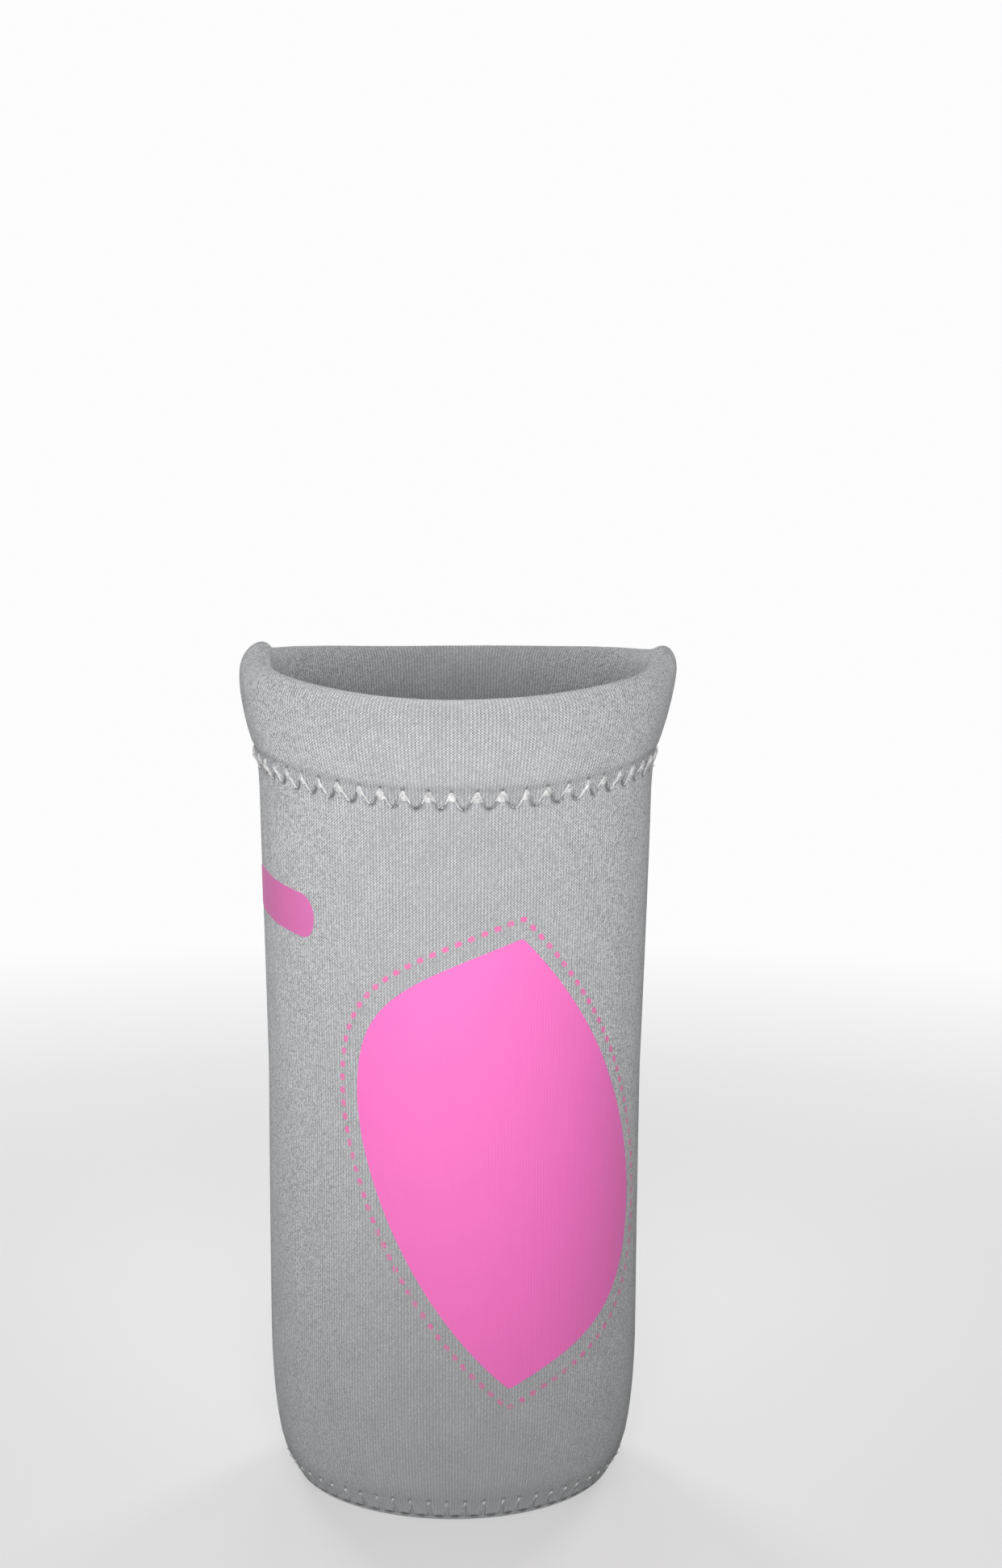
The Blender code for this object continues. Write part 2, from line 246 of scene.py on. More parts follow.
@dataclass
class SleeveShape:
    """The outer face of the sleeve, as one line that is turned about the middle.

    The line runs from the middle of the base out to its seam, up the outside, over the rim and down
    to the flap's raw edge. A place on it is given by its distance along the line and an angle from +X.
    Fields that end in inset or outset are measured from the body's radius, and those that end in focus
    say how closely a form keeps to the two sides.
    """

    laminate: Laminate
    spacing: float = 0.1 * MM
    softness: float = 0.8 * MM
    rim_outset: float = 5.9 * MM
    hem_rise: float = 3.1 * MM
    ear_rise: float = 2.6 * MM
    hem_depth: float = 19.9 * MM
    hem_rise_length: float = 19.0 * MM
    waist_inset: float = 0.3 * MM
    waist_height: float = 88.0 * MM
    corner_inset: float = 0.5 * MM
    corner_height: float = 33.0 * MM
    stitch_outset: float = 1.8 * MM
    stitch_drop: float = 0.35 * MM
    neck_outset: float = 1.3 * MM
    neck_drop: float = 5.0 * MM
    seam_inset: float = 4.85 * MM
    seam_drop: float = 2.25 * MM
    base_row_rise: float = 2.1 * MM
    base_edge_inset: float = 5.0 * MM
    base_flat_inset: float = 7.35 * MM
    seam_gap: float = 0.3 * MM
    base_gap: float = 0.12 * MM
    hem_roundness: float = 0.7
    fold_slack: float = 2.0 * MM
    fold_rise: float = 0.43 * MM
    flap_slack: float = 0.4 * MM
    flap_tail: float = 4.0 * MM
    rim_shift: float = 0.55 * MM
    rise_focus: float = 2.2
    ear_share: float = 0.95
    ear_tilt: float = 0.3 * MM
    ear_focus: int = 45
    lean: float = 0.9 * MM
    lean_tilt: float = 0.6 * MM
    lean_focus: int = 14
    hem_row: StitchRow = StitchRow(54, -0.9, 1.75 * MM, 0.3 * MM, 0.42 * MM, 0.45 * MM, 0.45 * MM, 0.5)
    base_row: StitchRow = StitchRow(59, -2.2, 2.1 * MM, 0.2 * MM, 0.1 * MM, 0.3 * MM, 0.7 * MM, 0.17)

    def __post_init__(self) -> None:
        """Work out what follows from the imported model's box, and trace the line."""
        low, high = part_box("front_knit")
        seam_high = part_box("base_knit")[1].z
        self.rim_radius = high.x
        self.rim_height = high.z - self.hem_rise - self.ear_rise
        self.body_radius = self.rim_radius - self.rim_outset
        self.waist = (self.body_radius - self.waist_inset, self.waist_height)
        self.corner_top = (self.body_radius - self.corner_inset, self.corner_height)
        self.stitch = (self.body_radius + self.stitch_outset, self.rim_height - self.hem_depth)
        self.neck = (self.body_radius + self.neck_outset, self.stitch[1] - self.neck_drop)
        self.seam_start = (self.body_radius - self.seam_inset, low.z)
        self.base_flat_radius = self.body_radius - self.base_flat_inset
        self.base_edge = (self.body_radius - self.base_edge_inset, seam_high)
        self.fold_width = 2 * self.laminate.total + self.fold_slack
        self.fold_height = (self.fold_width / 2) ** 2 / (self.laminate.total + self.fold_rise)
        self.flap_radius = self.stitch[0] - 2 * self.laminate.total - self.flap_slack
        self._trace()

    @staticmethod
    def _quarter(start: Point, end: Point, steps: int = 12) -> list[Point]:
        """Points of a quarter round.

        Args:
            start: Radius and height of the point that it leaves level.
            end: Radius and height of the point that it reaches upright.
            steps: Number of its steps.

        Returns:
            The points in order.
        """
        points = []
        for turn in (math.pi / 2 * step / steps for step in range(steps + 1)):
            radius = start[0] + (end[0] - start[0]) * math.sin(turn)
            points.append((radius, start[1] + (end[1] - start[1]) * (1 - math.cos(turn))))
        return points

    def knots(self, hem_steps: int = 8, fold_steps: int = 18) -> list[Point]:
        """The line's own points.

        Args:
            hem_steps: Steps up the outside of the hem.
            fold_steps: Steps over the rim.

        Returns:
            Radius and height of each point.
        """
        points: list[Point] = [(0.0, 0.0)]
        points += self._quarter((self.base_flat_radius, 0.0), self.base_edge)
        points += self._quarter(self.seam_start, self.corner_top)
        points += [self.waist, self.neck]
        rise = self.rim_height - self.fold_height - self.stitch[1]
        for step in range(hem_steps + 1):
            share = step / hem_steps
            swell = self.hem_roundness * math.sin(math.pi / 2 * share) + (1 - self.hem_roundness) * share
            radius = self.stitch[0] + (self.rim_radius - self.stitch[0]) * swell
            points.append((radius, self.stitch[1] + rise * share))
        middle = self.rim_radius - self.fold_width / 2
        for step in range(1, fold_steps + 1):
            turn = math.pi * step / fold_steps
            radius = middle + self.fold_width / 2 * math.cos(turn)
            points.append((radius, self.rim_height - self.fold_height * (1 - math.sin(turn))))
        points.append((self.flap_radius, self.stitch[1]))
        points.append((self.flap_radius - self.flap_slack, self.stitch[1] - self.flap_tail))
        return points

    def _trace(self) -> None:
        """Resample the line evenly, soften its corners and keep its normals."""
        knots = np.array(self.knots())
        runs = run_lengths(knots)
        line = rows_at(np.linspace(0.0, runs[-1], int(runs[-1] / self.spacing)), runs, knots)
        reach = int(3 * self.softness / self.spacing)
        offsets = np.arange(-reach, reach + 1) * self.spacing
        weights = np.exp(-0.5 * (offsets / self.softness) ** 2)
        weights /= weights.sum()
        before = 2 * line[0] - line[reach:0:-1]
        after = 2 * line[-1] - line[-2 : -reach - 2 : -1]
        padded = np.concatenate([before, line, after])
        soft = np.stack([np.convolve(padded[:, i], weights, mode="valid") for i in range(2)], axis=1)
        steps = np.gradient(soft, axis=0)
        steps /= np.linalg.norm(steps, axis=1)[:, None]
        self.line = soft
        self.normals = np.stack([steps[:, 1], -steps[:, 0]], axis=1)
        self.along = run_lengths(soft)
        self.length = float(self.along[-1])
        self.hem_along = self.along_at(self.stitch[1] - self.stitch_drop)
        self.seam_along = self.along_at((self.base_edge[1] + self.seam_start[1]) / 2) - self.seam_drop
        self.base_row_along = self.seam_along + self.base_row_rise
        self.flap_along = self.length - self.flap_tail
        self.crest_along = float(self.along[self.line[:, 1].argmax()])

    def along_at(self, height: float) -> float:
        """Distance along the line of a height on the outside, before the rim is raised at the sides."""
        outside = self.line[:, 0].argmax()
        return float(np.interp(height, self.line[:outside, 1], self.along[:outside]))

    def sewn_rows(self) -> tuple[SewnRow, ...]:
        """The rows of stitches that mark the cloth: the hem's, the base's and the hem's on the flap."""
        return (
            SewnRow(self.hem_row, self.hem_along, self.stitch[0], 1.0),
            SewnRow(self.base_row, self.base_row_along, self.seam_start[0], 0.6),
            SewnRow(self.hem_row, self.flap_along, self.flap_radius, 0.4),
        )

    def section(self, along: Array, depth: Array) -> Array:
        """Radius and height of places at depths below the outer face."""
        outward = rows_at(along, self.along, self.normals)
        return rows_at(along, self.along, self.line) - outward * depth[:, None]

    def surface(self, angle: Array, along: Array, lift: Array) -> Array:
        """Points in space near the outer face, with the rim drawn up at the side seams.

        Args:
            angle: Angles from +X.
            along: Distances along the line.
            lift: Distances out of the outer face.

        Returns:
            One row of x, y and z for each place.
        """
        radius, height = self.section(along, -lift).T
        right = np.cos(angle)
        beside = np.abs(right)
        drawn = np.clip((height - self.stitch[1]) / self.hem_rise_length + 1, 0.0, 1.0)
        up_hem = np.clip((height - self.stitch[1]) / self.hem_depth, 0.0, 1.0)
        eased = drawn * drawn * (3 - 2 * drawn)
        ear = (self.ear_share * self.ear_rise - self.ear_tilt * right) * beside**self.ear_focus
        raised = self.hem_rise * beside**self.rise_focus * eased + ear * up_hem**2
        lean = (self.lean - self.lean_tilt * right) * beside**self.lean_focus * up_hem**6
        x = radius * right + self.rim_shift * up_hem**3 + lean
        return np.stack([x, radius * np.sin(angle), height + raised], axis=1)


@dataclass
class Relief:
    """How far the outer cloth stands proud of, or sinks below, the plain turned shape.

    Levels and heights of the marks of a stitch are in its reaches, and their widths are shares of the
    way from its peak to its valley.

    Attributes:
        shape: The shape that the relief lies on.
        side_groove: Depth of the side seams.
        side_width: Their half width.
        seam_groove: Depth of the base seam.
        seam_width: Its half width.
        seam_shade: Half width of its painted shade line.
        row_reach: How far from its line a row of stitches marks the cloth.
        lowest: The deepest that the cloth is pressed in.
        tuft: Width, level and height of the swelling inside a zigzag.
        between: The same for the dip between two peaks.
        between_shade: The same for the painted shade in that dip.
        above: Level and height of the strip that is pulled in above the zigzag.
        above_shade: Height of the painted shade on it.
        hole_share: Depth of a needle hole, as a share of the groove.
        above_share: Depth of that strip, as the same share.
        between_share: Depth of the dip between two peaks, as the same share.
        crowd: Length in which the gathers above the hem seam fade.
        gather: Height of these gathers.
        dent: Depth, distance and half width of a dent beside the left side seam.
        swing: Height of the slow waves on the body.
        swing_lengths: Lengths in which its two waves run on along the line.
        swing_start: Height above the base seam at which they are full.
        ripple: Height of the waves round the hem.
        ripple_rise: Distance of their middle from the hem seam.
        ripple_width: Their half width.
    """

    shape: SleeveShape
    side_groove: float = 0.55 * MM
    side_width: float = 0.7 * MM
    seam_groove: float = 0.1 * MM
    seam_width: float = 0.35 * MM
    seam_shade: float = 0.5 * MM
    row_reach: float = 6.0 * MM
    lowest: float = -0.28 * MM
    tuft: tuple[float, float, float] = (0.4, 0.2, 0.6)
    between: tuple[float, float, float] = (0.4, 0.3, 0.6)
    between_shade: tuple[float, float, float] = (0.5, 0.3, 0.8)
    above: Point = (1.35, 0.45)
    above_shade: float = 0.6
    hole_share: float = 0.8
    above_share: float = 1.1
    between_share: float = 0.5
    crowd: float = 3.2 * MM
    gather: float = 0.11 * MM
    dent: tuple[float, float, float] = (0.2 * MM, 12.0 * MM, 2.2 * MM)
    swing: float = 0.05 * MM
    swing_lengths: Point = (19.0 * MM, 31.0 * MM)
    swing_start: float = 9.0 * MM
    ripple: float = 0.09 * MM
    ripple_rise: float = 12.0 * MM
    ripple_width: float = 7.0 * MM

    def _pressed(self, sewn: SewnRow, angle: Array, along: Array) -> Array:
        """Grooves under a row's thread, dimples at its needle holes and swellings between them.

        Args:
            sewn: The row of stitches.
            angle: Angles from +X.
            along: Distances along the line.

        Returns:
            One distance for each place, positive outwards.
        """
        aside, height, distance, holes = sewn.near(angle, along)
        past_end = np.clip(np.abs(height) - 1.0, 0.0, None)
        groove = bell(distance, sewn.row.width) * np.exp(-(past_end**2) * 8.0)
        tuft = bell(aside, self.tuft[0]) * bell(height - self.tuft[1], self.tuft[2])
        dip = bell(1.0 - np.abs(aside), self.between[0]) * bell(height - self.between[1], self.between[2])
        strip = bell(height - self.above[0], self.above[1])
        groove += self.hole_share * holes + self.above_share * strip + self.between_share * dip
        return sewn.row.puff * tuft - sewn.row.groove * groove

    def crease(self, angle: Array, along: Array) -> Array:
        """Painted shade in the needle holes, the sewn grooves, the base seam, the dips between peaks and the
        strip above the hem, stronger on legs turned from the light, from 0 to 1.

        Args:
            angle: Angles from +X.
            along: Distances along the line.

        Returns:
            One value for each place.
        """
        shape = self.shape
        beside = np.clip(np.abs(shape.base_row.from_peak(angle)) / 0.45 - 1.0, 0.0, 1.0)
        # Painted shade: a dark line along the base seam, between the legs of its stitches.
        dark = 0.62 * beside * bell(along - shape.seam_along, self.seam_shade)
        wide, level, tall = self.between_shade
        for sewn in shape.sewn_rows():
            aside, height, distance, holes = sewn.near(angle, along)
            lit = sewn.row.lit_share(angle)
            # Painted shade on the legs: stronger where a leg turns from the light, weaker where it turns to
            # it.
            turned_away_shade = 1.0 + 0.5 * np.clip(-lit, 0.0, 1.0) - 0.4 * np.clip(lit, 0.0, 1.0)
            legs = bell(distance, sewn.row.width) * (height < 0.4) * (height > -1.1)
            strip = bell(height - self.above[0], self.above_shade)
            dip = bell(1.0 - np.abs(aside), wide) * bell(height - level, tall)
            # Painted shade in the needle holes and along the legs, and a painted shadow band above the
            # zigzag and in the dips between its peaks.
            dark += holes * (0.5 + 0.5 * sewn.strength) + 0.6 * (0.4 + 0.6 * sewn.strength) * turned_away_shade * legs
            dark += sewn.strength * (0.26 * strip + 0.16 * dip)
        return np.clip(dark, 0.0, 1.0)

    def lift(self, angle: Array, along: Array) -> Array:
        """Distance of the outer cloth from the plain shape.

        Args:
            angle: Angles from +X.
            along: Distances along the line.

        Returns:
            One distance for each place, positive outwards.
        """
        shape = self.shape
        total = self._waves(angle, along)
        for sewn in shape.sewn_rows():
            near = np.abs(along - sewn.middle) < self.row_reach
            total[near] += sewn.strength * self._pressed(sewn, angle[near], along[near])
        from_seam = np.abs(np.sin(angle)) * shape.body_radius
        joined = bell(from_seam, self.side_width) * (along > shape.seam_along)
        total -= joined * self.side_groove * (0.75 + 0.25 * np.sin(along / COURSE))
        total -= self.seam_groove * bell(along - shape.seam_along, self.seam_width)
        return np.maximum(total, self.lowest)

    def _waves(self, angle: Array, along: Array) -> Array:
        """Slow unevenness of the soft body and of the hem, with the gathers and the dent.

        Args:
            angle: Angles from +X.
            along: Distances along the line.

        Returns:
            One distance for each place, positive outwards.
        """
        shape = self.shape
        up_body = np.clip((along - shape.seam_along) / self.swing_start, 0.0, 1.0)
        short, long = self.swing_lengths
        swing = np.sin(3 * angle + along / short) + np.sin(5 * angle - along / long + 1.3)
        hem = bell(along - shape.hem_along - self.ripple_rise, self.ripple_width)
        ripple = ripples(angle, (9, 0.6, 1.0), (14, 2.1, 0.8), (23, 0.0, 0.6))
        above = np.clip(along - shape.hem_along, 0.0, None)
        fading = np.where(above > 0, np.exp(-above / self.crowd), 0.0)
        gathers = self.gather * fading * np.cos(math.pi * shape.hem_row.from_peak(angle))
        depth, place, width = self.dent
        from_left = np.mod(angle + math.pi, 2 * math.pi) * shape.body_radius
        dent = depth * up_body * bell(from_left - place, width) * (along < shape.hem_along)
        return self.swing * up_body * swing + self.ripple * hem * ripple + gathers - dent


Input = Union[float, "Value", bpy.types.NodeSocket]


class Value:
    """A number in a node tree: an output socket on which Python's operators add Math nodes."""

    def __init__(self, graph: "Graph", socket: bpy.types.NodeSocket) -> None:
        """Wrap an output socket."""
        self.graph = graph
        self.socket = socket

    def _maths(self, operation: str, *values: Input) -> "Value":
        """Add a Math node with its inputs in order, and take its result."""
        made = self.graph.node("ShaderNodeMath", {"operation": operation}, dict(enumerate(values)))
        return Value(self.graph, made.outputs[0])

    def __add__(self, other: Input) -> "Value":
        """Sum."""
        return self._maths("ADD", self, other)

    def __sub__(self, other: Input) -> "Value":
        """Difference."""
        return self._maths("SUBTRACT", self, other)

    def __rsub__(self, other: Input) -> "Value":
        """Difference, the other way round."""
        return self._maths("SUBTRACT", other, self)

    def __mul__(self, other: Input) -> "Value":
        """Product."""
        return self._maths("MULTIPLY", self, other)

    def __truediv__(self, other: Input) -> "Value":
        """Quotient."""
        return self._maths("DIVIDE", self, other)

    def __rtruediv__(self, other: Input) -> "Value":
        """Quotient, the other way round."""
        return self._maths("DIVIDE", other, self)

    def __abs__(self) -> "Value":
        """Size without its sign."""
        return self._maths("ABSOLUTE", self)

    __radd__ = __add__
    __rmul__ = __mul__

    def wave(self) -> "Value":
        """A wave from -1 to 1 with one turn for each whole number."""
        return self._maths("SINE", self * (2.0 * math.pi))

    def whole(self) -> "Value":
        """The whole number just below."""
        return self._maths("FLOOR", self)

    def clamped(self) -> "Value":
        """The value kept from 0 to 1."""
        return self._maths("MINIMUM", self._maths("MAXIMUM", self, 0.0), 1.0)


class Graph:
    """The node tree of a material or of the world."""

    def __init__(self, owner: Union[Material, bpy.types.World]) -> None:
        """Empty the tree and give it its output node.

        Args:
            owner: The material or the world.
        """
        owner.use_nodes = True
        self.owner = owner
        self.tree = owner.node_tree
        self.tree.nodes.clear()
        ending = "World" if isinstance(owner, bpy.types.World) else "Material"
        self.output = self.node(f"ShaderNodeOutput{ending}")

    def node(
        self,
        kind: str,
        settings: Optional[dict[str, object]] = None,
        inputs: Optional[dict[Union[int, str], object]] = None,
    ) -> bpy.types.Node:
        """Add a node, set its options and then its sockets.

        Args:
            kind: The node's type.
            settings: Its options.
            inputs: Values or links of its sockets, by name or number.

        Returns:
            The node.
        """
        made = self.tree.nodes.new(kind)
        for name, setting in (settings or {}).items():
            setattr(made, name, setting)
        for name, given in (inputs or {}).items():
            source = given.socket if isinstance(given, Value) else given
            if isinstance(source, bpy.types.NodeSocket):
                self.tree.links.new(source, made.inputs[name])
            else:
                made.inputs[name].default_value = source
        return made

    def value(self, kind: str, output: str, settings: dict[str, object], inputs: dict) -> Value:
        """Add a node and take its named output as a number."""
        return Value(self, self.node(kind, settings, inputs).outputs[output])

    def place(self, output: str = "Object") -> bpy.types.NodeSocket:
        """The place on the piece, as the named output of Texture Coordinate."""
        return self.node("ShaderNodeTexCoord").outputs[output]

    def noise(self, scale: float, detail: float = 2.0) -> Value:
        """Cloudy noise from 0 to 1, with so many clouds in a metre and finer ones in them."""
        inputs = {"Vector": self.place(), "Scale": scale, "Detail": detail}
        return self.value("ShaderNodeTexNoise", "Fac", {}, inputs)

    def cell(self, column: Value, row: Value) -> Value:
        """A random number for each cell of a grid, from 0 to 1."""
        corner = self.node("ShaderNodeCombineXYZ", {}, {0: column.whole(), 1: row.whole()}).outputs[0]
        return self.value("ShaderNodeTexWhiteNoise", "Value", {"noise_dimensions": "2D"}, {"Vector": corner})

    def parts(self, vector: bpy.types.NodeSocket) -> tuple[Value, Value]:
        """The first two parts of a vector."""
        split = self.node("ShaderNodeSeparateXYZ", {}, {"Vector": vector}).outputs
        return Value(self, split["X"]), Value(self, split["Y"])

    def across_and_along(self) -> tuple[Value, Value]:
        """The cloth's own map in metres: round the sleeve, and along its line."""
        return self.parts(self.node("ShaderNodeUVMap", {"uv_map": "cloth"}).outputs["UV"])

    def looked_at(self) -> Value:
        """Tell the rays that show the object from those that light it.

        Returns:
            1 for the rays of the camera, in reflections and through glass, and 0 for the others.
        """
        path = self.node("ShaderNodeLightPath").outputs
        seen = Value(self, path["Is Camera Ray"]) + path["Is Glossy Ray"] + path["Is Transmission Ray"]
        return seen.clamped()

    def mix(self, share: Input, first: object, second: object) -> bpy.types.NodeSocket:
        """Mix two colours.

        Args:
            share: Share of the second.
            first: The first colour, or a link to it.
            second: The second one.

        Returns:
            The socket of the mixed colour.
        """
        sources = [(*c, 1.0) if isinstance(c, tuple) else c for c in (first, second)]
        inputs = {0: share, 6: sources[0], 7: sources[1]}
        return self.node("ShaderNodeMix", {"data_type": "RGBA"}, inputs).outputs[2]

    def bump(self, height: Value, depth: float) -> bpy.types.NodeSocket:
        """A normal that follows a height, of which 1 measures the depth."""
        return self.node("ShaderNodeBump", {}, {"Distance": depth, "Height": height}).outputs["Normal"]

    def close(self, shader: bpy.types.Node) -> Union[Material, bpy.types.World]:
        """Link the last shader to the output, and return the material or world."""
        self.tree.links.new(shader.outputs[0], self.output.inputs["Surface"])
        return self.owner

    def finish(self, **sockets: object) -> Material:
        """Add the Principled shader, with its sockets' names written with underscores, and close."""
        named = {name.replace("_", " "): given for name, given in sockets.items()}
        return self.close(self.node("ShaderNodeBsdfPrincipled", {}, named))


def shaded(colour: Colour, share: float) -> Colour:
    """A colour made darker or lighter."""
    return tuple(part * share for part in colour)


@dataclass(frozen=True)
class KnitFinish:
    """Fine ribbed jersey.

    Attributes:
        name: The material's name.
        colour: Colour of the cloth as a whole.
        ribs: How far its ribs and the painted shade in the valleys between them differ from that colour.
        loops: The same for the loops along each rib, with painted shade between them.
        grain: The same for chance differences of single loops.
        fuzz: The same for the fibres that stand out of them, of which most show near the side seams.
        clouds: The same for slow mottling.
        mottles: How many mottles there are in a metre.
        fibres: How many fibres stand in a loop, across and along.
        bare_fuzz: How much of the fuzz shows in the middle of the front.
        side_fuzz: How soon it grows towards the sides.
        girth: Length of the cloth's map round the sleeve.
        relief: Height of a rib.
        stretch_start: Height at which the stretched lower cloth starts to lose its pattern.
        stretch_rate: How soon it loses it below.
        stretch_rest: How much of the pattern is left at that height.
    """

    name: str
    colour: Colour
    ribs: float = 0.125
    loops: float = 0.26
    grain: float = 0.08
    fuzz: float = 0.6
    clouds: float = 0.11
    mottles: float = 140.0
    fibres: Point = (2.4, 2.2)
    bare_fuzz: float = 0.25
    side_fuzz: float = 1.7
    girth: float = 243.8 * MM
    relief: float = 0.06 * MM
    stretch_start: float = 34.0 * MM
    stretch_rate: float = 5.0
    stretch_rest: float = 0.55

    def material(self) -> Material:
        """Build the cloth: ribs of staggered loops with painted shade between them, mottling, and painted
        shade in the sewn creases and needle holes.

        Returns:
            The material.
        """
        graph = Graph(bpy.data.materials.new(self.name))
        across, along = graph.across_and_along()
        column, row = across / WALE, along / COURSE
        rib = column.wave()
        loop = row.wave() * (column + 0.12).wave()
        chance = graph.cell(column + 0.25, row + rib * 0.25) - 0.5
        fuzz = graph.cell(column * self.fibres[0], row * self.fibres[1]) - 0.5
        cloud = graph.noise(self.mottles, 3.0) - 0.5
        sideways = 1.0 - abs((across / self.girth).wave())
        hairy = (sideways * self.side_fuzz + self.bare_fuzz).clamped() * self.fuzz
        slanted = (sideways * 1.6).clamped() * 0.55 + 1.0
        # Painted shade: the valleys between ribs and between loops are darker; chance, fuzz and clouds vary
        # the tone at random.
        knit = (rib * self.ribs + loop * self.loops) * slanted
        pattern = knit * (chance + 1.0) + chance * self.grain + fuzz * hairy
        pulled = ((along - self.stretch_start) * self.stretch_rate + self.stretch_rest).clamped()
        shade = (pattern * pulled + cloud * self.clouds + 0.5).clamped()
        cloth = graph.mix(shade, shaded(self.colour, 0.3), shaded(self.colour, 1.7))
        # Painted shade of holes, grooves and seams: the colour darkens towards a near-black copy of itself.
        crease = graph.value("ShaderNodeAttribute", "Fac", {"attribute_name": "crease"}, {})
        return graph.finish(
            Base_Color=graph.mix(crease * 0.85, cloth, shaded(self.colour, 0.16)),
            Diffuse_Roughness=1.0,
            Roughness=0.82,
            Specular_IOR_Level=0.1,
            Normal=graph.bump(rib * 0.5 + loop * 0.2 + fuzz * 0.3, self.relief),
            Sheen_Weight=0.15,
        )


@dataclass(frozen=True)
class FoamFinish:
    """Closed-cell foam rubber, seen at its cut edges.

    Attributes:
        name: The material's name.
        colour: Colour of its cells.
        cells: How many cells there are in a metre.
        depth: How deep they are.
    """

    name: str
    colour: Colour
    cells: float = 4200.0
    depth: float = 0.1 * MM

    def material(self) -> Material:
        """Build the foam: tiny open cells on a matt dark ground.

        Returns:
            The material.
        """
        graph = Graph(bpy.data.materials.new(self.name))
        inputs = {"Vector": graph.place(), "Scale": self.cells}
        cells = graph.value("ShaderNodeTexVoronoi", "Distance", {}, inputs)
        lighter = tuple(part * 2.2 + 0.01 for part in self.colour)
        colour = graph.mix(cells, self.colour, lighter)
        return graph.finish(Base_Color=colour, Roughness=0.9, Normal=graph.bump(cells, self.depth))


@dataclass(frozen=True)
class ThreadFinish:
    """Twisted sewing thread.

    Attributes:
        name: The material's name.
        colour: Its colour where it is lightest.
        twist: Turns of its plies in a metre.
        tufts: How many lighter places there are in a metre.
        depth: Depth of the furrows between its plies.
    """

    name: str
    colour: Colour
    twist: float = 2600.0
    tufts: float = 1300.0
    depth: float = 0.04 * MM

    def material(self) -> Material:
        """Build the thread: plies that wind round it with painted shade in the furrows between them, lighter
        tufts at random, and a slight sheen.

        Returns:
            The material.
        """
        graph = Graph(bpy.data.materials.new(self.name))
        length, round_it = graph.parts(graph.place("UV"))
        ply = (length * self.twist + round_it * 2.0).wave() * 0.5 + 0.5
        tuft = (graph.noise(self.tufts, 1.0) - 0.5) * 2.6
        # Painted shade: the colour darkens in the furrows between the plies; the tufts vary it at random.
        colour = graph.mix((ply * 0.35 + tuft + 0.3).clamped(), shaded(self.colour, 0.6), self.colour)
        return graph.finish(Base_Color=colour, Roughness=0.42, Normal=graph.bump(ply, self.depth))


@dataclass(frozen=True)
class FilmFinish:
    """Transfer print on the cloth.

    Attributes:
        name: The material's name.
        colour: Its colour.
        deeper: Its colour where it lies thicker.
        worn: How far the cloth shows through it at the height below, and more the lower it lies.
        worn_height: That height.
        cloth: Colour of the cloth that shows.
        clouds: How many clouds there are in a metre.
        grains: How many grains there are in a metre.
        rubs: How many worn places there are in a metre.
        depth: How far the cloth's loops stand out under it.
    """

    name: str
    colour: Colour
    deeper: Colour
    worn: float = 0.0
    worn_height: float = 80.0 * MM
    cloth: Colour = (0.42, 0.4, 0.42)
    clouds: float = 90.0
    grains: float = 3800.0
    rubs: float = 1500.0
    depth: float = 0.02 * MM

    def material(self) -> Material:
        """Build the film: an even satin colour with the ribs just showing through.

        Returns:
            The material.
        """
        graph = Graph(bpy.data.materials.new(self.name))
        across, along = graph.across_and_along()
        rib = (across / WALE).wave()
        loop = (along / COURSE).wave() * rib
        cloud = graph.noise(self.clouds, 4.0)
        grain = graph.noise(self.grains, 2.0)
        share = (cloud * 0.5 + grain * 0.35 - rib * 0.08 + 0.08).clamped()
        colour = graph.mix(share, self.colour, self.deeper)
        if self.worn:
            rubbed = (self.worn_height - along) * 5.0 + self.worn
            bare = ((graph.noise(self.rubs, 2.0) - 0.5) * 3.0 - rib * 0.25 + rubbed).clamped()
            colour = graph.mix(bare, colour, self.cloth)
        return graph.finish(
            Base_Color=colour,
            Diffuse_Roughness=0.5,
            Roughness=0.6,
            Specular_IOR_Level=0.3,
            Normal=graph.bump(rib * 0.5 + loop * 0.2 + grain * 0.4, self.depth),
        )


@dataclass(frozen=True)
class Dressing:
    """A finish, and the name of a material slot, which nothing here reads."""

    material: Material
    slot: str

    def add(self, name: str, data: bpy.types.ID, *nodes: str) -> bpy.types.Object:
        """Put a mesh or curve into the scene as a piece of the sleeve.

        Args:
            name: The piece's name.
            data: Its mesh or curve.
            *nodes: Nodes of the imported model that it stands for.

        Returns:
            The piece's object.
        """
        piece = bpy.data.objects.new(name, data)
        bpy.context.scene.collection.objects.link(piece)
        data.materials.append(self.material)
        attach(piece, "root")
        if nodes:
            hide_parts(*nodes)
        LOG.info("made %s", name)
        return piece


def smooth_mesh(name: str, bm: bmesh.types.BMesh) -> bpy.types.Mesh:
    """Turn a bmesh into a mesh that is smooth but for its sharp edges.

    Args:
        name: The mesh's name.
        bm: The bmesh, which is freed.

    Returns:
        The mesh.
    """
    mesh = bpy.data.meshes.new(name)
    bm.to_mesh(mesh)
    bm.free()
    mesh.shade_smooth()
    mesh.set_sharp_from_angle(angle=SHARP_ANGLE)
    return mesh


